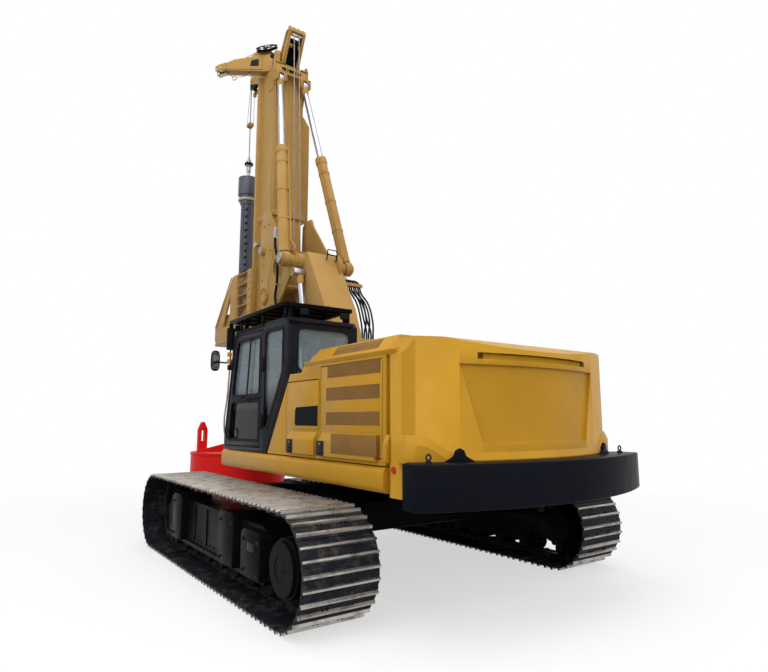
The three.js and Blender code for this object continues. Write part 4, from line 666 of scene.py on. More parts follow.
for side, sign in (("left", 1), ("right", -1)):
    easedCopy(f"{side}_track_frame", 0.008)
    rollerRow(side, sign)
    frameDetails(side, sign)
    driveCover(side, sign)
    frontIdler(side, sign)
easedCopy("carbody", 0.012)
slewRing = {"radius": 0.775, "height": 1.03, "bolts": 48}
bm = bmesh.new()
addBoltRing(bm, at(0, 0, slewRing["height"]), (0, 0, 1), slewRing["radius"], slewRing["bolts"], 0.018)
finishPiece("slew_ring_bolts", bm, "boltSteel", "undercarriage")
print("undercarriage made")
# ---- house: sills, housing, doors, counterweight, ballast

house = {"half": 1.45, "bodyTop": 2.65, "shoulder": 2.44, "shoulderIn": 0.17, "skin": 0.0035}

easedCopy("house_frame", 0.010)
easedCopy("left_sill", 0.006)
easedCopy("right_sill", 0.006)
easedCopy("rear_housing", 0.014, 3)


# Counterweight: its plan corners rounded wide, its rim less, the recessed field at the rear a little
weightEdges = (("corner", 0.17, 8, 12), ("rim", 0.035, 4, 20), ("field", 0.011, 3, 20))
weightField = {"half": 1.03, "low": 1.55, "high": 2.40, "cornerFrom": 1.24}


def softWeight():
    bm = nodeCopy("counterweight")
    for part, width, steps, corner in weightEdges:
        edges = []
        for edge in bm.edges:
            rise = abs(edge.verts[0].co.z - edge.verts[1].co.z) / max(edge.calc_length(), 1e-6)
            outward = min(abs(vert.co.y) for vert in edge.verts) > weightField["cornerFrom"]
            field = all(abs(vert.co.y) < weightField["half"]
                        and weightField["low"] < vert.co.z < weightField["high"] for vert in edge.verts)
            kind = "field" if field else "corner" if rise > 0.8 and outward else "rim"
            if edge.is_manifold and edge.calc_length() > 2.5 * width and kind == part:
                if edge.calc_face_angle(0) > math.radians(corner):
                    edges.append(edge)
        soften(bm, edges, width, steps, clamp=True)
    piece = finishPiece("counterweight_shape", bm, "bodyPaint", "house", 40, outward=False)
    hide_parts("counterweight")


softWeight()
easedCopy("rear_ballast", 0.014, 3)
easedCopy("tank_housing", 0.025, 3)
easedCopy("engine_block", 0.01)
for node in ("side_door", "louvre_door", "right_door", "engine_hood"):
    easedCopy(node, 0.005)

# Screens in the doors and on the shoulder: x from and to, height from and to
screens = {"left": [(-2.575, -1.59, 2.285, 2.415), (-2.56, -1.57, 2.045, 2.18), (-2.56, -1.57, 1.79, 1.92)],
           "right": [(-2.45, -1.60, 2.24, 2.36), (-2.45, -1.60, 2.02, 2.14), (-2.45, -1.60, 1.80, 1.92)],
           "shoulder": (-2.42, -1.55), "lower": (-2.56, -1.745, 1.50, 1.70)}


def sideScreens(side, sign, body):
    bm = bmesh.new()
    for x0, x1, z0, z1 in screens[side]:
        y = sign * house["half"]
        outline = [at(x0, y, z0), at(x1, y, z0), at(x1, y, z1), at(x0, y, z1)]
        addPlate(bm, outline, (0, sign * house["skin"], 0), ease=0.0012, segments=1)
    finishPiece(f"{side}_screens", bm, "screen", body)


def shoulderScreen(side, sign):
    bm = bmesh.new()
    slope = Vector((0, -sign * house["shoulderIn"], house["bodyTop"] - house["shoulder"]))
    across = Vector((0, sign * slope.z, abs(slope.y))).normalized()
    x0, x1 = screens["shoulder"]
    foot = Vector((0, sign * house["half"], house["shoulder"]))
    points = []
    for x, share in ((x0, 0.46), (x1, 0.46), (x1, 0.92), (x0, 0.92)):
        point = foot + slope * share
        points.append(at(x, point.y, point.z))
    addPlate(bm, points, across * house["skin"], ease=0.0012, segments=1)
    finishPiece(f"{side}_shoulder_screen", bm, "screen", "house")


sideScreens("left", 1, "louvre_door_leaf")
sideScreens("right", -1, "right_door_leaf")
shoulderScreen("left", 1)
shoulderScreen("right", -1)

# Proud belts low on the side, blank plate, and the recessed latches
belt = {"foot": 1.455, "low": 1.625, "high": 1.71, "proud": 0.042}


def sideBelt(name, x0, x1, sign, body):
    bm = bmesh.new()
    y = sign * (house["half"] - 0.002)
    rise = sign * belt["proud"]
    outline = [at(x0, y, belt["high"]), at(x0, y, belt["foot"]), at(x0, y + rise * 0.8, belt["foot"]),
               at(x0, y + rise, belt["foot"] + 0.01), at(x0, y + rise, belt["low"])]
    addPlate(bm, outline, (x1 - x0, 0, 0), ease=0.004)
    finishPiece(name, bm, "bodyPaint", body, 20)


sideBelt("front_door_belt", -1.366, -0.72, 1, "side_door_leaf")
sideBelt("louvre_door_belt", -2.53, -1.478, 1, "louvre_door_leaf")
sideBelt("right_door_belt", -2.52, -1.432, -1, "right_door_leaf")
sideBelt("left_tail_belt", -2.72, -2.655, 1, "house")
sideBelt("right_tail_belt", -2.72, -2.655, -1, "house")
bm = bmesh.new()
x0, x1, z0, z1 = screens["lower"]
addBox(bm, at(x0, house["half"] - 0.002, z0), at(x1, house["half"] + belt["proud"] + 0.002, z1), 0.003)
finishPiece("louvre_low_screen", bm, "screen", "louvre_door_leaf")

# Lip that overhangs the side under the shoulder, with the dark shade line below it
bm = bmesh.new()
for sign in (1, -1):
    outline = [at(-2.82, sign * y, z) for y, z in ((1.445, 2.440), (1.468, 2.486), (1.464, 2.494),
                                                   (1.40, 2.508))]
    addPlate(bm, outline, (1.74 if sign > 0 else 1.50, 0, 0), ease=0.003)
finishPiece("shoulder_lips", bm, "bodyPaint", "house", 25)

# Raised field on the front door, with its leaning front edge
bm = bmesh.new()
field = [(-1.412, 1.735), (-0.80, 1.735), (-0.815, 1.98), (-0.90, 2.06), (-0.99, 2.20), (-1.03, 2.265),
         (-1.412, 2.265)]
addPlate(bm, [at(x, house["half"] - 0.002, z) for x, z in field], (0, 0.010, 0), ease=0.006)
finishPiece("front_door_field", bm, "bodyPaint", "side_door_leaf")


latches = {"foot": 1.465, "wide": 0.145, "tall": 0.155}


def latch(name, x, sign, body):
    bm = bmesh.new()
    face = house["half"] + belt["proud"]
    z, half, tall = latches["foot"], latches["wide"] / 2, latches["tall"]
    flap = latches["wide"] * 0.34
    sideBox(bm, sign, (x - half, face - 0.006, z), (x + half, face + 0.004, z + tall), 0.003)
    sideBox(bm, sign, (x - flap, face + 0.002, z + tall * 0.12), (x + flap, face + 0.009, z + tall * 0.62),
            0.004)
    finishPiece(name, bm, "plastic", body)
    bm = bmesh.new()
    y = sorted((sign * (face + 0.002), sign * (face + 0.009)))
    addRod(bm, at(x, y[0], z + tall * 0.8), at(x, y[1], z + tall * 0.8), 0.009, 16)
    finishPiece(f"{name}_lock", bm, "boltSteel", body)


latch("front_door_latch", -0.80, 1, "side_door_leaf")
latch("louvre_door_latch", -1.52, 1, "louvre_door_leaf")
latch("right_door_latch", -1.52, -1, "right_door_leaf")

bm = bmesh.new()
corners = [(-1.40, 1.775), (-0.885, 1.775), (-0.862, 1.80), (-0.868, 1.96), (-0.905, 1.985), (-1.40, 1.995)]
addPlate(bm, [at(x, house["half"] + 0.007, z) for x, z in corners], (0, 0.004, 0), ease=0.0012, segments=1)
finishPiece("side_plate", bm, "ballastPaint", "side_door_leaf")

# Catches under the shoulders, red reflectors, hood handles
bm = bmesh.new()
for sign in (1, -1):
    sideBox(bm, sign, (-0.93, 1.42, 2.35), (-0.89, 1.447, 2.41), 0.004)
finishPiece("shoulder_catches", bm, "plastic", "house")
bm = bmesh.new()
for sign in (1, -1):
    addRod(bm, at(-2.78, sign * 1.44, 1.40), at(-2.78, sign * 1.462, 1.40), 0.035, 24, 0.030)
finishPiece("rear_reflectors", bm, "redLens", "house")
bm = bmesh.new()
for y in (-0.6, 0.6):
    addRod(bm, at(-2.52, y - 0.07, 2.675), at(-2.52, y + 0.07, 2.675), 0.009, 12)
    for end in (-0.07, 0.07):
        addRod(bm, at(-2.52, y + end, 2.648), at(-2.52, y + end, 2.68), 0.009, 12)
finishPiece("hood_handles", bm, "plastic", "hood")

# Grille slats across the hood
bm = bmesh.new()
for i in range(9):
    x = -1.62 - i * 0.095
    addBox(bm, at(x - 0.03, -0.75, 2.648), at(x + 0.03, 0.75, 2.656), 0.003)
finishPiece("hood_slats", bm, "bodyPaint", "hood")

# Exhaust stack
bm = bmesh.new()
addTurned(bm, [(0, 0), (0.075, 0), (0.075, 0.16), (0.082, 0.165), (0.082, 0.175), (0.06, 0.178),
               (0.06, 0.03),
               (0, 0.03)], at(-1.25, -0.9, 2.50), (0, 0, 1), 32)
finishPiece("exhaust", bm, "blackPaint", "house")
print("house skin made")

# Counterweight: raised skirt that follows its plan, low on the rear and higher on the sides
def arcPoint(radius, angle, z):
    return at(-radius * math.cos(angle), radius * math.sin(angle), z)


weight = {"cut": 1.60, "sideTop": 1.71, "rearTop": 1.55, "foot": 1.47, "proud": 0.042, "slope": 0.085,
          "sideFrom": 1.36, "rearFrom": 1.02, "step": 0.05, "front": -2.668}


# Closed rings of as many vertices joined into one capped tube
def bridgeRings(bm, rings):
    pairs = [list(zip(ring, ring[1:] + ring[:1])) for ring in rings]
    for ring in pairs:
        for pair in ring:
            bm.edges.new(pair)
    for first, second in zip(pairs, pairs[1:]):
        bmesh.ops.bridge_loops(bm, edges=[bm.edges.get(pair) for pair in first + second])
    for end in (rings[0], rings[-1]):
        bm.faces.new(end)


# Outline of the counterweight at a height, from its left front end round to the right
def weightPlan(height):
    bm = bmesh.new()
    bm.from_mesh(nodes["counterweight"].data)
    made = bmesh.ops.bisect_plane(bm, geom=bm.verts[:] + bm.edges[:] + bm.faces[:], plane_co=(0, 0, height),
                                  plane_no=(0, 0, 1))
    cutVerts = [g for g in made["geom_cut"] if isinstance(g, bmesh.types.BMVert)]
    points = [(v.co.x - slewX, v.co.y) for v in cutVerts if v.co.x - slewX < weight["front"]]
    bm.free()
    return geometryHull(points)


def geometryHull(points):
    indices = geometry.convex_hull_2d([Vector(point) for point in points])
    hull = [Vector(points[i]) for i in indices]
    hull.sort(key=lambda point: math.atan2(point.y, -point.x))
    return hull[::-1]


def resampled(path, step):
    result = []
    for first, second in zip(path, path[1:]):
        count = max(1, round((second - first).length / step))
        result += [first.lerp(second, i / count) for i in range(count)]
    return result + [path[-1]]


path = resampled(weightPlan(weight["cut"]), weight["step"])
bm = bmesh.new()
rings = []
for i, point in enumerate(path):
    along = (path[min(i + 1, len(path) - 1)] - path[max(i - 1, 0)]).normalized()
    out = Vector((along.y, -along.x))
    if out.dot(point) < 0:
        out = -out
    share = min(1, max(0, (abs(point.y) - weight["rearFrom"]) / (weight["sideFrom"] - weight["rearFrom"])))
    top = weight["rearTop"] + (weight["sideTop"] - weight["rearTop"]) * share * share * (3 - 2 * share)
    low = max(top - weight["slope"], weight["foot"] + 0.02)
    ring = []
    for reach, z in ((-0.03, top), (0.002, top), (weight["proud"], low), (weight["proud"], weight["foot"]),
                     (-0.03, weight["foot"])):
        ring.append(bm.verts.new(at(point.x + out.x * reach, point.y + out.y * reach, z)))
    rings.append(ring)
bridgeRings(bm, rings)
finishPiece("counterweight_skirt", bm, "bodyPaint", "house", 24)

# Lifting points of the ballast
bm = bmesh.new()
for y in (-1.05, 1.05):
    angle = math.asin(y / 3.36)
    foot = arcPoint(3.37, angle, 1.478)
    out = Vector((-math.cos(angle), math.sin(angle), 0))
    along = Vector((math.sin(angle), math.cos(angle), 0)).normalized()
    outline = [foot + along * x + Vector((0, 0, z)) for x, z in
               ((-0.15, 0), (0.15, 0), (0.06, 0.05), (0.04, 0.10), (0.0, 0.12), (-0.04, 0.10),
                (-0.06, 0.05))]
    addPlate(bm, outline, out * 0.03, ease=0.004)
    for x in (-0.03, 0.03):
        addRod(bm, foot + along * x + Vector((0, 0, 0.02)), foot + along * x + Vector((0, 0, 0.08)), 0.012,
               12)
finishPiece("ballast_lugs", bm, "ballastPaint", "house")
bm = bmesh.new()
for y in (-1.4, 1.4):
    angle = math.asin(y / 3.5)
    foot = arcPoint(3.48, angle, 1.478)
    addRod(bm, foot, foot + Vector((0, 0, 0.02)), 0.03, 6)
    addTorus(bm, foot + Vector((0, 0, 0.05)), (1, 0, 0), 0.025, 0.008, 20, 8)
finishPiece("ballast_eyes", bm, "plastic", "house")
print("counterweight made")
# ---- cab: shell, seals, hinges, rails, lamps, mirror, inside

cab = {"left": 1.45, "right": 0.45, "rear": -0.63, "seal": 0.007, "round": 0.07, "roundSteps": 5,
       "doorPanes": [[(0.19, 2.17), (1.145, 2.17), (1.005, 2.87), (0.965, 2.95), (0.19, 2.96)],
                     [(0.19, 1.56), (1.235, 1.56), (1.16, 2.09), (0.19, 2.09)]],
       "quarter": [(-0.07, 1.72), (0.05, 1.72), (0.05, 3.0), (-0.5, 3.0), (-0.5, 2.42)],
       "rearPane": [(0.56, 2.42), (1.34, 2.42), (1.34, 2.99), (0.56, 2.99)],
       "rightPane": [(-0.48, 2.42), (-0.06, 1.98), (1.215, 1.98), (1.035, 2.98), (-0.48, 2.98)]}


# A 2-D outline with rounded corners, always as many points to a corner
def rounded(points, radius):
    outline = []
    steps = cab["roundSteps"]
    for i, point in enumerate(points):
        corner = Vector(point)
        before = Vector(points[i - 1]) - corner
        after = Vector(points[(i + 1) % len(points)]) - corner
        reach = min(radius / math.tan(before.angle(after) / 2), before.length * 0.45, after.length * 0.45)
        start, end = corner + before.normalized() * reach, corner + after.normalized() * reach
        for k in range(steps + 1):
            share = k / steps
            outline.append((1 - share) ** 2 * start + 2 * share * (1 - share) * corner + share ** 2 * end)
    return outline


# A 2-D outline with every edge moved inwards
def shrunk(points, distance):
    points = [Vector(point) for point in points]
    count = len(points)
    area = sum(points[i].x * points[(i + 1) % count].y - points[(i + 1) % count].x * points[i].y
               for i in range(count))
    turn = 1 if area > 0 else -1
    result = []
    for i, point in enumerate(points):
        before = (point - points[i - 1]).normalized()
        after = (points[(i + 1) % count] - point).normalized()
        inward = Vector((-before.y - after.y, before.x + after.x)) * turn
        result.append(point + inward * distance / max(1 + before.dot(after), 0.3))
    return result


# A flat ring between two outlines of as many points, raised by a depth; place gives the point in space
def addBand(bm, outer, inner, place, depth):
    loops = []
    for outline, rise in ((outer, 0.0), (outer, depth), (inner, depth), (inner, 0.0)):
        loops.append([bm.verts.new(place(point[0], point[1], rise)) for point in outline])
    count = len(outer)
    for first, second in zip(loops, loops[1:] + loops[:1]):
        for i in range(count):
            j = (i + 1) % count
            bm.faces.new((first[i], first[j], second[j], second[i]))


def sealAround(bm, pane, place, outside, inside, depth):
    outer = rounded(shrunk(pane, -outside), cab["round"] + outside)
    inner = rounded(shrunk(pane, inside), cab["round"])
    addBand(bm, outer, inner, place, depth)


def onLeft(u, v, rise):
    return at(u, cab["left"] + rise, v)


def onRight(u, v, rise):
    return at(u, cab["right"] - rise, v)


def onRear(u, v, rise):
    return at(cab["rear"] - rise, u, v)


easedCopy("cab_shell", 0.018, 3, corner=20)
easedCopy("cab_door", 0.007, 2)
easedCopy("roof_guard", 0.006)
easedCopy("operator_seat", 0.035, 4, corner=40)

bm = bmesh.new()
for pane in cab["doorPanes"]:
    sealAround(bm, pane, onLeft, 0.014, 0.016, cab["seal"])
finishPiece("cab_door_seals", bm, "rubber", "cab_door_leaf")
bm = bmesh.new()
sealAround(bm, cab["quarter"], onLeft, 0.012, 0.03, cab["seal"])
sealAround(bm, cab["rearPane"], onRear, 0.055, 0.03, cab["seal"])
sealAround(bm, cab["rightPane"], onRight, 0.03, 0.02, cab["seal"])
finishPiece("cab_window_seals", bm, "rubber", "house")

# Leaning dark band behind the quarter window, down to the deck
bm = bmesh.new()
outline = [(-0.075, 1.44), (0.045, 1.44), (0.045, 1.70), (-0.085, 1.70), (-0.515, 2.42), (-0.515, 2.62),
           (-0.60, 2.50), (-0.60, 2.37)]
addPlate(bm, [onLeft(u, v, -0.002) for u, v in outline], (0, 0.008, 0), ease=0.002, segments=1)
finishPiece("cab_lean_band", bm, "rubber", "house")

# Door: divider bar, handle, lower rail, hinge blocks, ribbed rain strip
bm = bmesh.new()
addPlate(bm, [onLeft(u, v, -0.008) for u, v in ((0.60, 2.165), (0.625, 2.165), (0.535, 2.955),
                                                (0.505, 2.955))],
         (0, 0.014, 0))
addBox(bm, at(0.165, 1.449, 2.105), at(1.155, 1.462, 2.15), 0.005)
finishPiece("cab_door_divider", bm, "rubber", "cab_door_leaf")
curvePiece("cab_door_handle", [[at(0.42, 1.452, 2.125), at(0.43, 1.488, 2.12), at(0.60, 1.49, 2.11),
                                at(0.70, 1.488, 2.135), at(0.71, 1.455, 2.15)],
                               [at(1.17, 1.452, 1.56), at(1.175, 1.482, 1.58), at(1.165, 1.482, 1.70),
                                at(1.158, 1.452, 1.72)]], 0.010, "rubber", "cab_door_leaf")
bm = bmesh.new()
for z in (2.56, 1.82):
    addBox(bm, at(0.035, 1.448, z - 0.085), at(0.112, 1.482, z + 0.085), 0.012, 3)
    addRod(bm, at(0.075, 1.472, z - 0.10), at(0.075, 1.472, z + 0.10), 0.015, 16, ease=0.003)
finishPiece("cab_door_hinges", bm, "rubber", "house")
rain = [(0.09, 3.055), (0.93, 3.055), (1.045, 3.0), (1.095, 2.90), (1.335, 1.62)]
routes = []
for k in range(4):
    lift = 0.012 + 0.013 * k
    routes.append([onLeft(u + lift * 0.7 * (u > 0.95), v + lift * (1 if v > 2.95 else 0.35), -0.003)
                   for u, v in rain])
curvePiece("cab_rain_strips", routes, 0.0075, "rubber", "house", smooth=False, sides=2)

# Front left corner: upright rail, lamp bars and amber lamps on brackets
curvePiece("cab_front_rail", [[at(1.43, 1.40, 1.56), at(1.45, 1.43, 1.66), at(1.36, 1.44, 2.20),
                               at(1.25, 1.43, 2.72), at(1.215, 1.40, 2.80)]], 0.013, "wornSteel", "house")
bm = bmesh.new()
addBox(bm, at(1.235, 1.40, 2.86), at(1.275, 1.52, 3.19), 0.012, 3)
addBox(bm, at(1.245, 1.43, 3.15), at(1.265, 1.49, 3.26), 0.004)
addBox(bm, at(1.22, 1.42, 2.56), at(1.26, 1.50, 2.64), 0.01)
addRod(bm, at(1.245, 1.46, 2.60), at(1.25, 1.46, 2.90), 0.011, 12)
for y in (0.62, 1.02, 1.36):
    addBox(bm, at(1.165, y - 0.055, 3.135), at(1.235, y + 0.055, 3.225), 0.014, 3)
for y in (0.66, 1.24):
    addBox(bm, at(-0.665, y - 0.05, 3.135), at(-0.605, y + 0.05, 3.215), 0.014, 3)
finishPiece("cab_lamp_bodies", bm, "rubber", "house")
bm = bmesh.new()
for y in (0.62, 1.02, 1.36):
    addBox(bm, at(1.232, y - 0.042, 3.148), at(1.240, y + 0.042, 3.212), 0.004)
finishPiece("cab_work_lamps", bm, "lampGlass", "house")
bm = bmesh.new()
for z in (2.69, 2.79):
    addTurned(bm, [(0, -0.03), (0.03, -0.03), (0.034, -0.02), (0.034, 0.02), (0.026, 0.034), (0, 0.036)],
              at(1.245, 1.475, z), (0, 0, 1), 24)
finishPiece("cab_amber_lamps", bm, "amber", "house")

# Mirror: a slim rounded shell on its stalk
mirror = {"middle": (1.555, 1.575, 2.72), "half": (0.028, 0.07, 0.155)}
bm = bmesh.new()
made = bmesh.ops.create_uvsphere(bm, u_segments=28, v_segments=18, radius=1)
for vert in made["verts"]:
    blunt = [math.copysign(abs(value) ** 0.62, value) for value in vert.co]
    vert.co = [middle + value * half for middle, value, half in zip(mirror["middle"], blunt,
                                                                    mirror["half"])]
bmesh.ops.translate(bm, vec=(slewX, 0, 0), verts=made["verts"])
addRod(bm, at(1.535, 1.57, 2.70), at(1.20, 1.425, 2.66), 0.012, 14)
addRod(bm, at(1.53, 1.57, 2.705), at(1.48, 1.545, 2.695), 0.022, 16, ease=0.004)
addBox(bm, at(1.125, 1.40, 2.60), at(1.21, 1.46, 2.71), 0.014, 3)
piece = finishPiece("side_mirror_shape", bm, "rubber", "house")
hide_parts("side_mirror")
bm = bmesh.new()
addBand(bm, [(y * 0.9, z * 0.9) for y, z in rounded([(-0.062, -0.14), (0.062, -0.14), (0.062, 0.14),
                                                     (-0.062, 0.14)],
                                                      0.04)],
        [(y * 0.001, z * 0.001) for y, z in rounded([(-1, -1), (1, -1), (1, 1), (-1, 1)], 0.4)],
        lambda u, v, rise: at(1.5275 - rise, 1.575 + u, 2.72 + v), 0.004)
bmesh.ops.remove_doubles(bm, verts=bm.verts, dist=0.002)
finishPiece("side_mirror_glass", bm, "chrome", "house")

# Roof: rear rain bar, roof ribs, guard ties, latch plates at the rear corner
bm = bmesh.new()
addBox(bm, at(-0.668, 0.53, 3.035), at(-0.628, 1.36, 3.082), 0.009, 3)
for i in range(5):
    x = -0.42 + i * 0.29
    addBox(bm, at(x, 0.62, 3.108), at(x + 0.12, 1.28, 3.124), 0.007)
finishPiece("cab_roof_ribs", bm, "cabPaint", "house")
bm = bmesh.new()
for x in (-0.56, 0.10, 0.84):
    for y in (1.452, 0.535):
        addBox(bm, at(x, y - 0.012, 3.09), at(x + 0.045, y + 0.012, 3.275), 0.004)
        addBolt(bm, at(x + 0.022, y + 0.012, 3.12), (0, 1, 0), 0.011)
addBox(bm, at(-0.655, 1.30, 3.02), at(-0.60, 1.452, 3.06), 0.008)
finishPiece("guard_ties", bm, "blackPaint", "house")
curvePiece("guard_rails", [[at(-0.60, 1.49, 3.285), at(1.20, 1.49, 3.285)],
                           [at(-0.60, 0.52, 3.285), at(1.20, 0.52, 3.285)]],
           0.005, "blackPaint", "house", smooth=False)

# Mesh floor of the guard
bm = bmesh.new()
addBox(bm, at(-0.60, 0.53, 3.262), at(1.20, 1.485, 3.268))
finishPiece("guard_mesh", bm, "blackPaint", "house")

# Inside: back wall lining, curtain, console, levers, extinguisher
bm = bmesh.new()
for i in range(9):
    x = 0.20 + i * 0.034
    addRod(bm, at(x, 0.56 + 0.012 * (i % 2), 2.12), at(x, 0.56 + 0.012 * (i % 2), 2.98), 0.018, 12)
finishPiece("cab_curtain", bm, "trim", "house")
bm = bmesh.new()
addBox(bm, at(-0.56, 0.58, 1.60), at(-0.50, 1.32, 2.30), 0.02, 3)
addBox(bm, at(0.94, 0.60, 1.50), at(1.14, 0.86, 2.12), 0.03, 3)
addBox(bm, at(0.90, 0.62, 2.12), at(1.00, 0.84, 2.36), 0.02, 3)
for y in (0.80, 1.12):
    addRod(bm, at(1.02, y, 1.48), at(1.0, y, 1.98), 0.012, 12)
    addRod(bm, at(1.0, y, 1.97), at(1.0, y, 2.06), 0.022, 16, ease=0.006)
finishPiece("cab_console", bm, "plastic", "house")
bm = bmesh.new()
addTurned(bm, [(0, 0), (0.05, 0), (0.055, 0.01), (0.055, 0.30), (0.045, 0.34), (0.016, 0.36), (0.016, 0.39),
               (0, 0.39)],
          at(0.78, 1.24, 1.48), (0, 0, 1), 28)
addBox(bm, at(0.86, 1.10, 1.48), at(1.06, 1.30, 1.56), 0.01)
finishPiece("cab_extinguisher", bm, "redPaint", "house")
curvePiece("cab_wiper", [[at(1.335, 0.95, 1.62), at(1.30, 0.96, 1.95), at(1.24, 0.99, 2.35)]], 0.007,
           "rubber", "house")
print("cab made")
# ---- support arm, cradle, cylinders, hoses

arm = {"head": (1.33, 4.42), "liftFoot": (0.70, 1.60), "liftEye": (1.23, 4.20), "liftY": 0.355,
       "rakeFoot": (0.59, 4.42), "rakeEye": (2.40, 0.25, 8.23), "pivot": (2.50, 4.85),
       "flange": (2.38, 4.00)}

easedCopy("support_arm", 0.016, 3, corner=12)
easedCopy("tie_link", 0.008)
easedCopy("mast_cradle", 0.009, 2)
for side in ("left", "right"):
    for name in ("lift_barrel", "rake_barrel"):
        easedCopy(f"{side}_{name}", 0.004)
    for name in ("lift_rod", "rake_rod"):
        easedCopy(f"{side}_{name}", 0.003)


# Gland, clamps, oil pipe, pins and rod head of a rake cylinder
def rakeDetails(side, sign):
    foot = at(arm["head"][0], sign * arm["rakeFoot"][0], arm["rakeFoot"][1])
    eye = at(arm["rakeEye"][0], sign * arm["rakeEye"][1], arm["rakeEye"][2])
    way = (eye - foot).normalized()
    tube, stem = f"{side}_rake_tube", f"{side}_rake_stem"
    bm = bmesh.new()
    addTurned(bm, [(0.06, 2.16), (0.099, 2.16), (0.105, 2.17), (0.105, 2.285), (0.095, 2.302),
                   (0.06, 2.302)],
              foot, way, 40)
    for distance in (0.75, 1.35, 1.95):
        addTurned(bm, [(0.09, distance - 0.02), (0.101, distance - 0.018), (0.101, distance + 0.018),
                       (0.09, distance + 0.02)], foot, way, 40)
    finishPiece(f"{side}_rake_glands", bm, "mastPaint", tube, 30)
    rear = Vector((-1, 0, 0)) - way * Vector((-1, 0, 0)).dot(way)
    line = (rear.normalized() * 0.8 + Vector((0, -sign, 0)) * 0.6).normalized()
    route = [foot + way * 0.32 + line * 0.125, foot + way * 0.42 + line * 0.128,
             foot + way * 1.2 + line * 0.128,
             foot + way * 2.05 + line * 0.128, foot + way * 2.19 + line * 0.128,
             foot + way * 2.22 + line * 0.09]
    loop = [foot + way * 0.32 + line * 0.125, foot + way * 0.24 + line * 0.16,
            foot + way * 0.16 + line * 0.20,
            foot + way * 0.10 + line * 0.17]
    curvePiece(f"{side}_rake_pipe", [route, loop], 0.013, "mastPaint", tube)
    bm = bmesh.new()
    for distance in (0.75, 1.35, 1.95):
        middle = foot + way * distance + line * 0.118
        addRod(bm, middle - way * 0.018, middle + way * 0.018, 0.026, 12, ease=0.004)
    middle = foot + way * 2.22
    addRod(bm, middle + line * 0.09, middle + line * 0.14, 0.022, 12, ease=0.004)
    finishPiece(f"{side}_rake_clamps", bm, "mastPaint", tube)
    bm = bmesh.new()
    addTurned(bm, [(0.05, 2.30), (0.066, 2.302), (0.068, 2.312), (0.05, 2.318)], foot, way, 32)
    finishPiece(f"{side}_rake_wiper", bm, "rubber", tube)
    axis = Vector((0, sign, 0)) + Vector((0, 0, 1)) * ((arm["rakeFoot"][0] - arm["rakeEye"][1])
                                                      / (arm["rakeEye"][2] - arm["rakeFoot"][1]))
    axis.normalize()
    end = foot + axis * 0.0905
    bm = bmesh.new()
    addTurned(bm, [(0, -0.002), (0.08, -0.002), (0.088, 0.004), (0.088, 0.012), (0.078, 0.018), (0, 0.02)],
              end, axis, 40)
    addBoltRing(bm, end + axis * 0.017, axis, 0.052, 6, 0.012)
    finishPiece(f"{side}_rake_pin_cap", bm, "boltSteel", "cradle")
    bm = bmesh.new()
    for offset in (-0.052, 0.052):
        addTurned(bm, [(0.118, offset - 0.006), (0.1285, offset - 0.004), (0.1285, offset + 0.004),
                       (0.118, offset + 0.006)],
                  foot, axis, 44)
    finishPiece(f"{side}_rake_eye_rings", bm, "mastPaint", tube, 30)
    bm = bmesh.new()
    addRod(bm, eye - Vector((0, 0.095, 0)), eye + Vector((0, 0.095, 0)), 0.042, 28, ease=0.004)
    addTurned(bm, [(0.04, -0.02), (0.078, -0.016), (0.078, 0.016), (0.04, 0.02)], eye, (0, 1, 0), 36)
    finishPiece(f"{side}_rake_head_pin", bm, "mastPaint", "mast")
    bm = bmesh.new()
    addTurned(bm, [(0.036, 0.0), (0.056, 0.0), (0.066, 0.03), (0.0665, 0.16), (0.054, 0.20), (0.036, 0.20)],
              eye, -way, 32)
    finishPiece(f"{side}_rake_rod_head", bm, "mastPaint", stem)


def liftDetails(side, sign):
    foot = at(arm["liftFoot"][0], sign * arm["liftY"], arm["liftFoot"][1])
    eye = at(arm["liftEye"][0], sign * arm["liftY"], arm["liftEye"][1])
    way = (eye - foot).normalized()
    bm = bmesh.new()
    addTurned(bm, [(0.05, 1.42), (0.079, 1.42), (0.083, 1.43), (0.083, 1.52), (0.075, 1.532),
                   (0.05, 1.532)],
              foot, way, 36)
    finishPiece(f"{side}_lift_gland", bm, "mastPaint", f"{side}_lift_tube", 30)
    length = (eye - foot).length
    bm = bmesh.new()
    addTurned(bm, [(0.044, -0.20), (0.054, -0.195), (0.058, -0.12), (0.058, -0.06), (0.04, -0.05)],
              foot + way * length, way, 32)
    finishPiece(f"{side}_lift_rod_head", bm, "mastPaint", f"{side}_lift_stem")
    end = eye + Vector((0, sign * 0.1305, 0))
    bm = bmesh.new()
    addTurned(bm, [(0, -0.004), (0.068, -0.004), (0.074, 0.002), (0.074, 0.01), (0.05, 0.012),
                   (0.046, 0.004),
                   (0.018, 0.004), (0.014, 0.012), (0, 0.013)], end, (0, sign, 0), 36)
    for k in range(3):
        angle = 2 * math.pi * k / 3 + 0.4
        reach = Vector((math.cos(angle), 0, math.sin(angle)))
        addRod(bm, end + reach * 0.012 + Vector((0, sign * 0.006, 0)),
               end + reach * 0.052 + Vector((0, sign * 0.006, 0)),
               0.009, 8)
    finishPiece(f"{side}_lift_pin_cap", bm, "mastPaint", f"{side}_lift_stem")


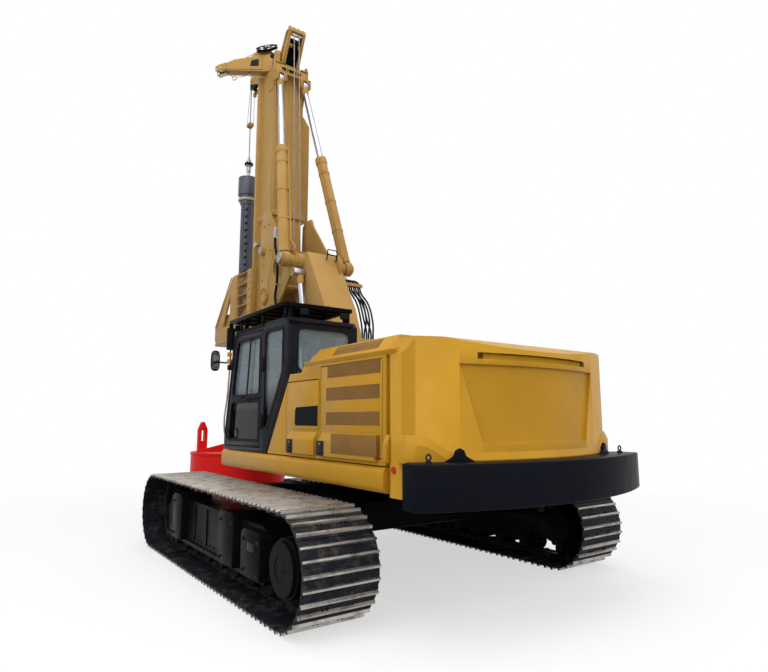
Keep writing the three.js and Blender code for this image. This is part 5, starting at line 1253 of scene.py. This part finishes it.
def cradleDetails(side, sign):
    out = Vector((0, sign, 0))
    flange = at(arm["flange"][0], sign * 0.470, arm["flange"][1])
    pivot = at(arm["pivot"][0], sign * 0.485, arm["pivot"][1])
    bm = bmesh.new()
    addTurned(bm, [(0, 0), (0.158, 0), (0.162, 0.006), (0.158, 0.012), (0.09, 0.012), (0.084, 0.004),
                   (0, 0.004)],
              flange, out, 48)
    addTurned(bm, [(0.185, -0.034), (0.214, -0.034), (0.218, -0.030), (0.218, -0.024), (0.185, -0.022)],
              at(1.87, sign * 0.47, 4.44), out, 48)
    finishPiece(f"{side}_cradle_rings", bm, "mastPaint", "cradle", 30)
    bm = bmesh.new()
    addBoltRing(bm, flange + out * 0.012, out, 0.125, 12, 0.017)
    finishPiece(f"{side}_flange_bolts", bm, "mastPaint", "cradle")
    bm = bmesh.new()
    addTurned(bm, [(0, -0.002), (0.066, -0.002), (0.072, 0.006), (0.072, 0.022), (0.062, 0.03), (0, 0.032)],
              pivot, out, 36)
    addBoltRing(bm, pivot + out * 0.03, out, 0.04, 4, 0.012)
    finishPiece(f"{side}_pivot_cap", bm, "wornSteel", "cradle")
    bm = bmesh.new()
    for x, z in ((2.30, 5.30), (2.50, 5.30), (2.46, 4.55), (2.22, 4.80), (2.56, 4.62), (2.10, 3.80),
                 (2.52, 4.30)):
        addBolt(bm, at(x, sign * 0.44, z), out, 0.015)
    for z in (3.98, 3.86):
        sideBox(bm, sign, (1.72, 0.438, z), (1.79, 0.452, z + 0.05), 0.004)
    finishPiece(f"{side}_cradle_bolts", bm, "mastPaint", "cradle")
    bm = bmesh.new()
    fold = [(2.00, 5.05), (2.03, 5.05), (2.34, 3.92), (2.31, 3.92)]
    addPlate(bm, [at(x, sign * 0.437, z) for x, z in fold], (0, sign * 0.010, 0), ease=0.003, segments=1)
    rim = [(1.72, 4.77), (1.30, 4.585), (1.215, 4.52), (1.23, 4.495), (1.315, 4.56), (1.735, 4.745)]
    addPlate(bm, [at(x, sign * 0.437, z) for x, z in rim], (0, sign * 0.012, 0), ease=0.003, segments=1)
    finishPiece(f"{side}_cradle_folds", bm, "mastPaint", "cradle")


for side, sign in (("left", 1), ("right", -1)):
    rakeDetails(side, sign)
    liftDetails(side, sign)
    cradleDetails(side, sign)

# Black feed hose with its steel end, past the round hole and down behind the cab
curvePiece("cradle_feed_hose", [[at(1.84, 0.52, 4.92), at(1.82, 0.53, 4.80), at(1.74, 0.52, 4.50),
                                 at(1.78, 0.50, 4.10), at(1.86, 0.485, 3.88), at(1.80, 0.49, 3.72),
                                 at(1.74, 0.50, 3.60)]], 0.022, "rubber", "cradle")
bm = bmesh.new()
start = at(1.84, 0.52, 4.92)
for k in range(5):
    addTurned(bm, [(0, 0), (0.028, 0.003), (0.034, 0.016), (0.028, 0.030), (0, 0.033)],
              start + Vector((0, 0, 0.036 * k - 0.01)), (0.1, 0, 1), 16)
addRod(bm, at(1.82, 0.44, 4.88), at(1.84, 0.52, 4.91), 0.02, 14, ease=0.004)
finishPiece("cradle_feed_fitting", bm, "chrome", "cradle")
curvePiece("cradle_feed_clamps", [[at(1.80, 0.445, 4.10), at(1.80, 0.51, 4.12), at(1.77, 0.528, 4.10),
                                   at(1.745, 0.51, 4.08), at(1.745, 0.445, 4.08)]], 0.008, "mastPaint",
                                   "cradle")

# Hoses bowed out on the right of the arm, between their clamps
hoses = {"count": 7, "top": (0.93, 4.05), "low": (0.53, 3.06), "first": -0.35, "step": -0.042}
routes = []
for i in range(hoses["count"]):
    y = hoses["first"] + hoses["step"] * i
    bow = 0.01 + 0.016 * ((i * 3) % hoses["count"])
    x0, z0 = hoses["top"]
    x1, z1 = hoses["low"]
    routes.append([at(x0 + 0.10, y + 0.03, z0 + 0.10), at(x0 + 0.02, y, z0 + 0.03),
                   at(x0 - 0.03, y - 0.01, z0 - 0.12),
                   at(0.80 - bow * 0.5, y - bow * 0.9, 3.72), at(0.68 - bow * 0.5, y - bow, 3.42),
                   at(x1 + 0.02, y - 0.02, z1 + 0.14), at(x1, y, z1 - 0.02),
                   at(x1 - 0.02, y + 0.02, z1 - 0.12)])
bundle = curvePiece("arm_hoses", routes, 0.015, "rubber", "arm")
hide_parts("hose_bundle")
bm = bmesh.new()
addBox(bm, at(0.87, -0.63, 4.015), at(0.97, -0.283, 4.065), 0.006)
addBox(bm, at(0.48, -0.62, 3.035), at(0.58, -0.243, 3.085), 0.006)
for x, z in ((0.92, 4.065), (0.53, 3.085)):
    for i in range(4):
        y = -0.33 - 0.084 * i
        addBolt(bm, at(x - 0.03, y, z), (0, 0, 1), 0.012)
        addBolt(bm, at(x + 0.03, y, z), (0, 0, 1), 0.012)
finishPiece("arm_hose_clamps", bm, "mastPaint", "arm")

# Arm: bent grab handle, lifting lug, seam ribs, folded boot
curvePiece("arm_grab_handle", [[at(1.02, -0.02, 4.42), at(0.99, -0.02, 4.55), at(1.00, -0.03, 4.60),
                                at(1.00, -0.19, 4.60), at(0.99, -0.20, 4.55), at(1.02, -0.20, 4.42)],
                               [at(0.985, -0.02, 4.51), at(0.985, -0.20, 4.51)]], 0.010, "rubber", "arm",
           smooth=False)
bm = bmesh.new()
lug = [(0.90, 4.20), (1.08, 4.46), (1.05, 4.52), (0.99, 4.53), (0.86, 4.36)]
addPlate(bm, [at(x, -0.235, z) for x, z in lug], (0, 0.03, 0), ease=0.005)
for y in (-0.279, 0.263):
    addBox(bm, at(0.62, y, 3.49), at(0.96, y + 0.016, 3.515), 0.004)
finishPiece("arm_lugs", bm, "mastPaint", "arm")
bm = bmesh.new()
for i in range(4):
    addTurned(bm, [(0.05, 0), (0.13 - 0.018 * i, 0), (0.135 - 0.018 * i, 0.03), (0.12 - 0.018 * i, 0.06),
                   (0.05, 0.06)],
              at(1.02, 0.0, 3.22 + 0.06 * i), (0.25, 0, 1), 28)
finishPiece("arm_boot", bm, "rubber", "arm")
print("arm made")
# ---- mast: column, head, gantry, jib, winches, ropes

mast = {"half": 0.29, "joint": 5.60, "jibRoot": (2.95, 0.30, 8.79)}

easedCopy("mast_column", 0.010, 2)
easedCopy("mast_side_box", 0.012, 2)
easedCopy("mast_head", 0.006)
easedCopy("aux_jib", 0.007)
for node in ("main_winch_drum", "aux_winch_drum", "main_sheave", "rear_sheave", "jib_sheave"):
    easedCopy(node, 0.002)


def sidePlate(bm, outline, y, thick, ease=0.003):
    addPlate(bm, [at(x, y, z) for x, z in outline], (0, thick, 0), ease=ease, segments=1)


# Long folds and edge strips on the column's sides and back, joint flange with its bolts
bm = bmesh.new()
for sign in (1, -1):
    face = sign * mast["half"]
    for x in (2.56, 3.02):
        sidePlate(bm, [(x, 5.66), (x + 0.05, 5.66), (x + 0.05, 8.50), (x, 8.50)], face - sign * 0.002,
                  sign * 0.010)
    sidePlate(bm, [(2.53, 1.40), (2.60, 1.40), (2.60, 5.50), (2.53, 5.50)], face - sign * 0.002,
              sign * 0.010)
    sidePlate(bm, [(3.04, 1.40), (3.11, 1.40), (3.11, 5.50), (3.04, 5.50)], face - sign * 0.002,
              sign * 0.010)
    for z in (1.9, 2.7, 3.5, 5.1):
        sidePlate(bm, [(2.53, z), (3.11, z), (3.11, z + 0.02), (2.53, z + 0.02)], face - sign * 0.002,
                  sign * 0.014)
for y in (-0.26, -0.035, 0.035, 0.22):
    addBox(bm, at(2.493, y, 5.70), at(2.502, y + 0.04, 8.30), 0.003)
finishPiece("mast_folds", bm, "mastPaint", "mast")
bm = bmesh.new()
for sign in (1, -1):
    for i in range(6):
        x = 2.53 + i * 0.082
        for lift in (-0.043, 0.040):
            addBolt(bm, at(x, sign * 0.309, mast["joint"] + lift), (0, 0, lift), 0.016)
for i in range(7):
    addBolt(bm, at(2.475, -0.26 + i * 0.087, mast["joint"] + 0.04), (0, 0, 1), 0.016)
finishPiece("mast_bolts", bm, "boltSteel", "mast")
bm = bmesh.new()
for sign in (1, -1):
    sideBox(bm, sign, (2.66, 0.289, 5.20), (2.86, 0.302, 5.42), 0.006)
    sideBox(bm, sign, (2.62, 0.289, 8.12), (2.80, 0.302, 8.26), 0.005)
    sidePlate(bm, [(2.52, 5.66), (2.58, 5.66), (2.52, 5.80)], sign * 0.2885, sign * 0.03)
finishPiece("mast_access_plates", bm, "mastPaint", "mast")

# Side pins on the front edge, below the joint
bm = bmesh.new()
for sign in (1, -1):
    addRod(bm, at(3.0, sign * 0.285, 5.10), at(3.0, sign * 0.385, 5.10), 0.036, 24, ease=0.004)
    addTurned(bm, [(0, 0), (0.05, 0), (0.054, 0.006), (0.05, 0.02), (0, 0.024)],
              at(3.0, sign * 0.385, 5.10), (0, sign, 0), 28)
finishPiece("mast_side_pins", bm, "boltSteel", "mast")

# Crossbar: dark patches in its openings, painted shade, stiffeners, ends of the rake pins
bm = bmesh.new()
for y0, y1 in ((-0.20, -0.08), (-0.055, 0.055), (0.08, 0.20)):
    addBox(bm, at(2.434, y0, 8.45), at(2.4415, y1, 8.51), 0.0)
# Dark patches over the openings: painted shade
finishPiece("crossbar_slot_shade", bm, "rubber", "mast")
bm = bmesh.new()
for y in (-0.345, -0.155, 0.155, 0.345):
    sidePlate(bm, [(2.30, 8.17), (2.445, 8.17), (2.445, 8.40), (2.41, 8.40), (2.30, 8.28)], y - 0.006,
              0.012)
for sign in (1, -1):
    sideBox(bm, sign, (2.42, 0.10, 8.36), (2.445, 0.12, 8.56), 0.003)
    outline = [(2.43, 8.20), (2.43, 8.60), (2.50, 8.72), (2.56, 8.72), (2.56, 8.60), (2.505, 8.58),
               (2.505, 8.20)]
    sidePlate(bm, outline, sign * 0.34, sign * 0.018)
    sideBox(bm, sign, (2.425, 0.20, 8.575), (2.51, 0.352, 8.597), 0.004)
addBox(bm, at(2.36, -0.36, 8.34), at(2.445, 0.36, 8.355), 0.003)
finishPiece("crossbar_ribs", bm, "mastPaint", "mast")
bm = bmesh.new()
for sign in (1, -1):
    for y in (sign * 0.25 - 0.088, sign * 0.25 + 0.088):
        addTurned(bm, [(0, -0.012), (0.055, -0.012), (0.058, -0.006), (0.058, 0.006), (0.055, 0.012),
                       (0, 0.012)],
                  at(2.40, y, 8.23), (0, 1, 0), 28)
finishPiece("rake_pin_ends", bm, "boltSteel", "mast")

# Gantry: black inner plates, edges, top beams, pins
bm = bmesh.new()
inner = [(2.50, 8.64), (2.74, 8.64), (2.37, 9.19), (2.25, 9.19)]
for y in (-0.119, 0.111):
    sidePlate(bm, inner, y, 0.008, 0.001)
sidePlate(bm, [(2.56, 8.64), (2.60, 8.64), (2.36, 9.10), (2.33, 9.10)], -0.112, 0.224, 0.002)
finishPiece("gantry_inner_plates", bm, "blackPaint", "mast")
bm = bmesh.new()
for sign in (1, -1):
    y = sign * 0.150
    sidePlate(bm, [(2.46, 8.63), (2.52, 8.63), (2.255, 9.17), (2.212, 9.17)], y, sign * 0.022)
    sidePlate(bm, [(2.72, 8.63), (2.78, 8.63), (2.38, 9.22), (2.345, 9.22)], y, sign * 0.022)
addBox(bm, at(2.205, -0.168, 9.165), at(2.245, 0.168, 9.235), 0.006)
addBox(bm, at(2.30, -0.165, 9.215), at(2.375, 0.165, 9.243), 0.005)
for i in range(4):
    y = -0.135 + i * 0.09
    addRod(bm, at(2.29, y - 0.022, 9.268), at(2.29, y + 0.022, 9.268), 0.022, 18, ease=0.003)
finishPiece("gantry_edges", bm, "mastPaint", "mast")
bm = bmesh.new()
for y in (-0.172, 0.172):
    for x, z in ((2.235, 9.19), (2.34, 9.19), (2.42, 8.96), (2.60, 8.72)):
        addBolt(bm, at(x, y, z), (0, 1 if y > 0 else -1, 0), 0.013)
addRod(bm, at(2.26, -0.10, 9.13), at(2.26, 0.10, 9.13), 0.03, 24, ease=0.004)
finishPiece("gantry_pins", bm, "boltSteel", "mast")

# Two winch ropes down the back of the mast
curvePiece("winch_ropes", [[at(2.255, 0.052, 9.13), at(2.245, 0.052, 8.90), at(2.03, 0.06, 4.45),
                            at(1.965, 0.07, 2.40)],
                           [at(2.255, -0.052, 9.13), at(2.245, -0.052, 8.90), at(2.025, -0.06, 4.45),
                            at(1.965, -0.07, 1.70)]], 0.011, "ropeSteel", "mast",
                            smooth=False)

# Stiffeners under the main sheave
bm = bmesh.new()
for y in (-0.072, 0.072):
    sidePlate(bm, [(3.30, 8.74), (4.20, 9.13), (4.16, 9.20), (3.28, 8.86)], y - 0.006, 0.012)
addBox(bm, at(3.06, -0.09, 8.92), at(3.30, 0.09, 8.96), 0.004)
finishPiece("head_stiffeners", bm, "mastPaint", "mast")

# Jib: root sheave, root and side plates, pins, small gear and wires under its tip
jibWay = Vector((math.sqrt(0.5), math.sqrt(0.5), 0))
jibAcross = Vector((-math.sqrt(0.5), math.sqrt(0.5), 0))
jibOrigin = at(*mast["jibRoot"])
wheelUp = 0.35
wheelAxis = (jibAcross * 0.72 + Vector((0, 0, 0.69))).normalized()


def onJib(along, across, up):
    return jibOrigin + jibWay * along + jibAcross * across + Vector((0, 0, up))


def jibPlate(bm, outline, across, thick):
    addPlate(bm, [onJib(u, across, v) for u, v in outline], jibAcross * thick, ease=0.003, segments=1)


bm = bmesh.new()
addTurned(bm, [(0, -0.026), (0.05, -0.026), (0.05, -0.012), (0.19, -0.010), (0.205, -0.024),
               (0.218, -0.024),
               (0.204, -0.006), (0.204, 0.006), (0.218, 0.024), (0.205, 0.024), (0.19, 0.010),
               (0.05, 0.012),
               (0.05, 0.026), (0, 0.026)], onJib(0, 0, wheelUp), wheelAxis, 56)
finishPiece("jib_root_sheave", bm, "blackPaint", "mast", 40)
# Pale discs in the sheave's holes: painted light of the backdrop seen through them
bm = bmesh.new()
for k in range(5):
    angle = 2 * math.pi * (k + 0.25) / 5
    spoke = turnTo(wheelAxis) @ Vector((0.125 * math.cos(angle), 0.125 * math.sin(angle), 0))
    middle = onJib(0, 0, wheelUp) + spoke
    addRod(bm, middle - wheelAxis * 0.0135, middle + wheelAxis * 0.0135, 0.034, 20)
finishPiece("jib_root_sheave_holes", bm, "paleMetal", "mast")
bm = bmesh.new()
root = [(-0.12, 0.12), (0.36, 0.12), (0.28, 0.19), (0.14, 0.28), (-0.08, 0.30), (-0.12, 0.26)]
for across in (-0.055, 0.035):
    jibPlate(bm, root, across, 0.020)
for across in (-0.101, 0.089):
    jibPlate(bm, [(0.05, -0.16), (0.62, -0.095), (0.80, -0.07), (0.80, 0.045), (0.62, 0.095),
                  (0.05, 0.125)], across, 0.012)
    jibPlate(bm, [(0.80, -0.085), (0.86, -0.085), (0.86, 0.055), (0.80, 0.055)], across * 1.12, 0.016)
finishPiece("jib_plates", bm, "mastPaint", "mast")
# Dark patches in the windows of the side plates: painted shade
bm = bmesh.new()
for across in (-0.1035, 0.0995):
    jibPlate(bm, [(0.12, -0.085), (0.30, -0.065), (0.27, 0.055), (0.12, 0.065)], across, 0.004)
finishPiece("jib_window_shade", bm, "plastic", "mast")
bm = bmesh.new()
for u, v in ((0.93, -0.03), (1.01, -0.055), (0.83, -0.02)):
    middle = onJib(u, 0, v)
    addRod(bm, middle - jibAcross * 0.088, middle + jibAcross * 0.088, 0.018, 20, ease=0.003)
middle = onJib(0, 0, wheelUp)
addRod(bm, middle - wheelAxis * 0.11, middle + wheelAxis * 0.045, 0.035, 24, ease=0.003)
addRod(bm, onJib(0.98, -0.06, -0.13), onJib(0.98, 0.06, -0.13), 0.03, 20, ease=0.004)
finishPiece("jib_pins", bm, "boltSteel", "mast")
bm = bmesh.new()
jibPlate(bm, [(0.90, -0.09), (1.02, -0.06), (1.02, -0.15), (0.96, -0.17), (0.80, -0.13), (0.80, -0.10)],
         -0.03, 0.06)
addTorus(bm, onJib(0.66, 0, -0.225), jibAcross, 0.040, 0.011, 28, 10)
addRod(bm, onJib(0.80, 0, -0.13), onJib(0.69, 0, -0.19), 0.012, 12)
addRod(bm, onJib(0.36, 0.02, -0.14), onJib(0.31, 0.02, -0.24), 0.018, 12, ease=0.003)
finishPiece("jib_hook_gear", bm, "wornSteel", "mast")
curvePiece("jib_wires", [[onJib(0.62, 0, -0.21), onJib(0.50, 0.01, -0.215), onJib(0.36, 0.02, -0.20)],
                         [onJib(0.36, 0.02, -0.20), onJib(0.22, 0.03, -0.175), onJib(0.12, 0.02, -0.165)],
                         [onJib(0.86, 0, 0.075), onJib(0.50, 0, 0.17), onJib(0.18, 0, 0.30)]],
           0.006, "ropeSteel", "mast")
bm = bmesh.new()
addBox(bm, at(2.44, -0.42, 8.36), at(2.50, -0.36, 8.44), 0.008)
addBox(bm, at(2.46, 0.36, 8.66), at(2.52, 0.42, 8.72), 0.008)
finishPiece("mast_sensors", bm, "plastic", "mast")

# Short hoses on the column's sides
curvePiece("mast_side_hoses", [[at(2.62, -0.33, 8.30), at(2.58, -0.335, 8.05), at(2.60, -0.32, 7.86)],
                               [at(2.70, 0.305, 5.42), at(2.74, 0.32, 4.9), at(2.72, 0.31, 4.3),
                                at(2.68, 0.305, 3.2)]],
           0.014, "rubber", "mast")

# Rope wound on both winches, in a layer of turns
bm = bmesh.new()
for z in (2.40, 1.65):
    for i in range(15):
        addTorus(bm, at(2.15, -0.17 + i * 0.0243, z), (0, 1, 0), 0.186, 0.012, 30, 6)
finishPiece("wound_rope", bm, "ropeSteel", "mast", 60)
print("mast made")
# ---- drilling gear: carriage, rotary drive, kelly bar, swivel, bucket

drill = {"x": 4.42, "kellyRadius": 0.135, "tableTop": 3.42, "gearTop": 3.96, "bucketRadius": 0.93,
         "motorX": 4.13, "motorY": 0.215}


# A profile turned about the drill's own axis
def onDrill(bm, profile, steps):
    addTurned(bm, profile, at(drill["x"], 0, 0), (0, 0, 1), steps)


for node, ease in (("rotary_carriage", 0.006), ("rotary_drive", 0.008), ("drive_sleeve", 0.006),
                   ("kelly_bar", 0.004), ("drilling_bucket", 0.006), ("bucket_gate", 0.006)):
    easedCopy(node, ease)

bm = bmesh.new()
for sign in (1, -1):
    y = sorted((sign * 0.4395, sign * 0.4535))
    for x0, x1, z0, z1 in ((3.72, 3.78, 3.37, 4.64), (3.90, 4.66, 3.37, 3.42)):
        addBox(bm, at(x0, y[0], z0), at(x1, y[1], z1), 0.004)
    rim = [(4.00, 4.645), (4.02, 4.665), (4.85, 3.74), (4.82, 3.725)]
    addPlate(bm, [at(x, y[0], z) for x, z in rim], (0, y[1] - y[0], 0), ease=0.003, segments=1)
for sign in (1, -1):
    sideBox(bm, sign, (3.262, 0.318, 3.36), (3.30, 0.398, 4.64), 0.004)
finishPiece("carriage_rims", bm, "mastPaint", "carriage")
bm = bmesh.new()
for sign in (1, -1):
    for i in range(9):
        z = 3.44 + i * 0.14
        addBolt(bm, at(3.10, sign * 0.4205, z), (0, sign, 0), 0.015)
        addBolt(bm, at(3.19, sign * 0.4205, z), (0, sign, 0), 0.015)
addBoltRing(bm, at(drill["x"], 0, drill["gearTop"]), (0, 0, 1), 0.34, 24, 0.016)
addBoltRing(bm, at(drill["x"], 0, drill["tableTop"]), (0, 0, 1), 0.405, 16, 0.014)
for sign in (1, -1):
    addBoltRing(bm, at(drill["motorX"], sign * drill["motorY"], drill["gearTop"] - 0.02), (0, 0, 1), 0.112,
                8, 0.012)
finishPiece("carriage_bolts", bm, "boltSteel", "carriage")
bm = bmesh.new()
for sign in (1, -1):
    addTurned(bm, [(0, 0), (0.085, 0), (0.088, 0.004), (0.088, 0.10), (0.07, 0.12), (0.03, 0.125),
                   (0, 0.125)],
              at(drill["motorX"], sign * drill["motorY"], 4.378), (0, 0, 1), 32)
    sideBox(bm, sign, (4.16, drill["motorY"] - 0.04, 4.24), (4.25, drill["motorY"] + 0.04, 4.34), 0.008)
finishPiece("drive_motors", bm, "plastic", "carriage")
routes = []
for sign in (1, -1):
    for k in range(2):
        y = sign * (0.19 + 0.05 * k)
        routes.append([at(4.13, y, 4.50), at(4.12, y, 4.62), at(3.95, y * 0.95, 4.70),
                       at(3.74, y * 0.8, 4.62),
                       at(3.52, y * 0.7, 4.40), at(3.34, y * 0.7, 4.15)])
curvePiece("drive_hoses", routes, 0.016, "rubber", "carriage")

# Kelly bar: rack-like catches, collar rings
bm = bmesh.new()
for angle in (math.radians(152), math.radians(272), math.radians(32)):
    out = Vector((math.cos(angle), math.sin(angle), 0))
    along = Vector((-out.y, out.x, 0))
    centre = at(drill["x"], 0, 0) + out * (drill["kellyRadius"] - 0.004)
    for i in range(31):
        z = 1.72 + i * 0.15
        hook = [(-0.014, z), (0.026, z + 0.026), (0.026, z + 0.082), (-0.002, z + 0.058),
                (-0.026, z + 0.054),
                (-0.026, z + 0.024)]
        points = [centre + along * u + Vector((0, 0, v)) for u, v in hook]
        addPlate(bm, points, out * 0.0075)
finishPiece("kelly_catches", bm, "rubber", "kelly")
bm = bmesh.new()
onDrill(bm, [(0.10, 6.475), (0.190, 6.475), (0.198, 6.485), (0.198, 6.515), (0.190, 6.525), (0.10, 6.525)],
        48)
finishPiece("kelly_pale_ring", bm, "plate", "kelly")
bm = bmesh.new()
onDrill(bm, [(0.14, 6.97), (0.203, 6.97), (0.207, 6.98), (0.203, 6.995), (0.14, 7.0)], 48)
onDrill(bm, [(0.12, 6.40), (0.150, 6.40), (0.156, 6.41), (0.156, 6.48), (0.12, 6.48)], 40)
for z in (3.0, 1.9):
    onDrill(bm, [(0.12, z), (0.141, z), (0.143, z + 0.006), (0.143, z + 0.054), (0.141, z + 0.06),
                 (0.12, z + 0.06)], 40)
finishPiece("kelly_rings", bm, "kellyPaint", "kelly")

# Swivel with its bearing disc and rope socket
bm = bmesh.new()
onDrill(bm, [(0, 7.002), (0.095, 7.002), (0.10, 7.008), (0.10, 7.035), (0.06, 7.05), (0.036, 7.07),
             (0.034, 7.14), (0.048, 7.15), (0.05, 7.27), (0.044, 7.285), (0.044, 7.30), (0.08, 7.305),
             (0.088, 7.315), (0.088, 7.345), (0.08, 7.355), (0.05, 7.36), (0.045, 7.39), (0.052, 7.40),
             (0.052, 7.42), (0.03, 7.44), (0.026, 7.50), (0.016, 7.515), (0, 7.516)], 40)
piece = finishPiece("kelly_swivel_shape", bm, "wornSteel", "swivel")
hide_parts("kelly_swivel")
bm = bmesh.new()
onDrill(bm, [(0.04, 7.303), (0.084, 7.303), (0.092, 7.315), (0.092, 7.345), (0.084, 7.357), (0.04, 7.357)],
        36)
finishPiece("swivel_disc", bm, "rubber", "swivel")

# Hoist limit weight on its two wires, and the switch block under the head
bm = bmesh.new()
addBox(bm, at(4.355, -0.045, 8.185), at(4.405, 0.045, 8.275), 0.006)
addBox(bm, at(4.435, -0.045, 8.185), at(4.485, 0.045, 8.275), 0.006)
addBox(bm, at(4.355, -0.06, 8.200), at(4.485, -0.035, 8.260), 0.005)
addBox(bm, at(4.355, 0.035, 8.200), at(4.485, 0.06, 8.260), 0.005)
addBox(bm, at(4.33, -0.09, 8.90), at(4.39, -0.03, 8.99), 0.006)
addBox(bm, at(4.28, -0.10, 8.96), at(4.42, -0.07, 9.06), 0.006)
finishPiece("hoist_limit_blocks", bm, "mastPaint", "mast")
curvePiece("hoist_limit_wires", [[at(4.37, -0.048, 8.26), at(4.36, -0.06, 8.92)],
                                 [at(4.47, 0.048, 8.26), at(4.30, 0.07, 9.10)]],
           0.005, "ropeSteel", "mast", smooth=False)
bm = bmesh.new()
addRod(bm, at(4.35, -0.06, 8.985), at(4.32, -0.08, 9.08), 0.014, 12, ease=0.003)
for k in range(6):
    addTorus(bm, at(4.30, 0.07, 9.02 + 0.016 * k), (0, 0, 1), 0.012, 0.005, 14, 6)
finishPiece("hoist_limit_switch", bm, "wornSteel", "mast")

# Bucket: rolled bands, welded lugs, bolts, cutting teeth
bm = bmesh.new()
centre = at(drill["x"], 0, 0)
for z0, z1, proud in ((1.165, 1.207, 0.010), (0.305, 0.375, 0.012), (0.70, 0.725, 0.005)):
    radius = drill["bucketRadius"] + proud
    onDrill(bm, [(0.90, z0), (radius - 0.003, z0), (radius, z0 + 0.004), (radius, z1 - 0.004),
                 (radius - 0.003, z1), (0.90, z1)], 96)
for k in range(6):
    angle = math.radians(30 + 60 * k)
    out = Vector((math.cos(angle), math.sin(angle), 0))
    side = Vector((-out.y, out.x, 0))
    foot = centre + out * 0.80 + Vector((0, 0, 1.208))
    points = [foot - side * 0.03, foot + side * 0.03, foot + side * 0.03 + Vector((0, 0, 0.035)),
              foot - side * 0.03 + Vector((0, 0, 0.035))]
    addPlate(bm, points, out * 0.06, ease=0.004)
finishPiece("bucket_bands", bm, "redPaint", "kelly", 30)
bm = bmesh.new()
for k in range(8):
    angle = math.radians(22.5 + 45 * k)
    out = Vector((math.cos(angle), math.sin(angle), 0))
    addBolt(bm, centre + out * 0.944 + Vector((0, 0, 0.34)), out, 0.015)
finishPiece("bucket_bolts", bm, "wornSteel", "kelly")
bm = bmesh.new()
for turn in (0, math.pi):
    for k in range(5):
        reach = 0.22 + 0.155 * k
        place = centre + Vector((0, reach * math.cos(turn), 0.262))
        lean = 0.05 if turn else -0.05
        outline = [(-0.035, 0), (0.035, 0), (0.022 + lean, -0.10), (-0.006 + lean, -0.115)]
        addPlate(bm, [place + Vector((u, -0.028, v)) for u, v in outline], (0, 0.056, 0), ease=0.003,
                 segments=1)
finishPiece("bucket_teeth", bm, "wornSteel", "gate")
print("drilling gear made")
# ---- every CAD node still shown has the finish of its slot

for node in nodes:
    if not nodes[node].hide_render:
        nodes[node].data.materials.clear()
        nodes[node].data.materials.append(finishes[finishOfSlot[slotOf[node]]])

# ---- floor, light and camera

studio = {"floor": 60.0, "world": 0.6, "camera": (-7.01, 4.60, 1.85), "heading": (0.812, -0.584),
          "pitch": 8.14, "lens": 27.19}


# One for every ray that shows the backdrop: seen straight, in a reflection or through glass
def seenRays(tree):
    path = tree.nodes.new("ShaderNodeLightPath")
    seen = path.outputs["Is Camera Ray"]
    for name in ("Is Glossy Ray", "Is Transmission Ray"):
        larger = tree.nodes.new("ShaderNodeMath")
        larger.operation = "MAXIMUM"
        tree.links.new(seen, larger.inputs[0])
        tree.links.new(path.outputs[name], larger.inputs[1])
        seen = larger.outputs["Value"]
    return seen


def makeFloor():
    bm = bmesh.new()
    bmesh.ops.create_grid(bm, x_segments=1, y_segments=1, size=studio["floor"])
    mesh = bpy.data.meshes.new("floor")
    bm.to_mesh(mesh)
    bm.free()
    material, tree, shader = newMaterial("pale_floor")
    seen = seenRays(tree)
    tree.links.new(mixColour(tree, seen, (0.4, 0.4, 0.4), (0.9, 0.9, 0.9)), shader.inputs["Base Color"])
    shader.inputs["Roughness"].default_value = 1.0
    shader.inputs["Specular IOR Level"].default_value = 0.0
    white = tree.nodes.new("ShaderNodeEmission")
    white.inputs["Strength"].default_value = 1.0
    place = tree.nodes.new("ShaderNodeTexCoord")
    reach = tree.nodes.new("ShaderNodeVectorMath")
    reach.operation = "LENGTH"
    tree.links.new(place.outputs["Object"], reach.inputs[0])
    far = ramp(tree, reach.outputs["Value"], 4.5, 11.0, 0.6, 1.0)
    mix = tree.nodes.new("ShaderNodeMixShader")
    tree.links.new(multiply(tree, seen, far), mix.inputs["Fac"])
    output = tree.nodes["Material Output"]
    tree.links.new(shader.outputs["BSDF"], mix.inputs[1])
    tree.links.new(white.outputs["Emission"], mix.inputs[2])
    tree.links.new(mix.outputs["Shader"], output.inputs["Surface"])
    mesh.materials.append(material)
    floor = bpy.data.objects.new("floor", mesh)
    scene.collection.objects.link(floor)


def makeWorld():
    world = bpy.data.worlds.new("studio")
    scene.world = world
    world.use_nodes = True
    tree = world.node_tree
    background = tree.nodes["Background"]
    background.inputs["Color"].default_value = (1, 1, 1, 1)
    tree.links.new(ramp(tree, seenRays(tree), 0, 1, studio["world"], 1.0), background.inputs["Strength"])


def addLamp(name, place, aim, size, power):
    lamp = bpy.data.lights.new(name, "AREA")
    lamp.shape = "RECTANGLE"
    lamp.size, lamp.size_y = size
    lamp.energy = power
    piece = bpy.data.objects.new(name, lamp)
    scene.collection.objects.link(piece)
    piece.location = place
    piece.rotation_euler = (Vector(aim) - Vector(place)).to_track_quat("-Z", "Y").to_euler()


def makeCamera():
    camera = bpy.data.cameras.new("camera")
    camera.lens = studio["lens"]
    camera.clip_end = 200
    holder = bpy.data.objects.new("camera", camera)
    scene.collection.objects.link(holder)
    holder.location = at(*studio["camera"])
    headX, headY = studio["heading"]
    holder.rotation_euler = (math.radians(90 + studio["pitch"]), 0, math.atan2(-headX, headY))
    scene.camera = holder


makeFloor()
makeWorld()
addLamp("sky_panel", at(-4, 3, 16), at(0, 0, 2), (14, 14), 1250)
addLamp("rear_panel", at(-14, 2, 8), at(-1, 0, 2), (8, 8), 520)
addLamp("side_panel", at(-2, 15, 9), at(0, 0, 3), (9, 8), 520)
addLamp("front_panel", at(14, -6, 9), at(2, 0, 3), (8, 8), 300)
makeCamera()
scene.view_settings.view_transform = "Standard"
print("studio made")
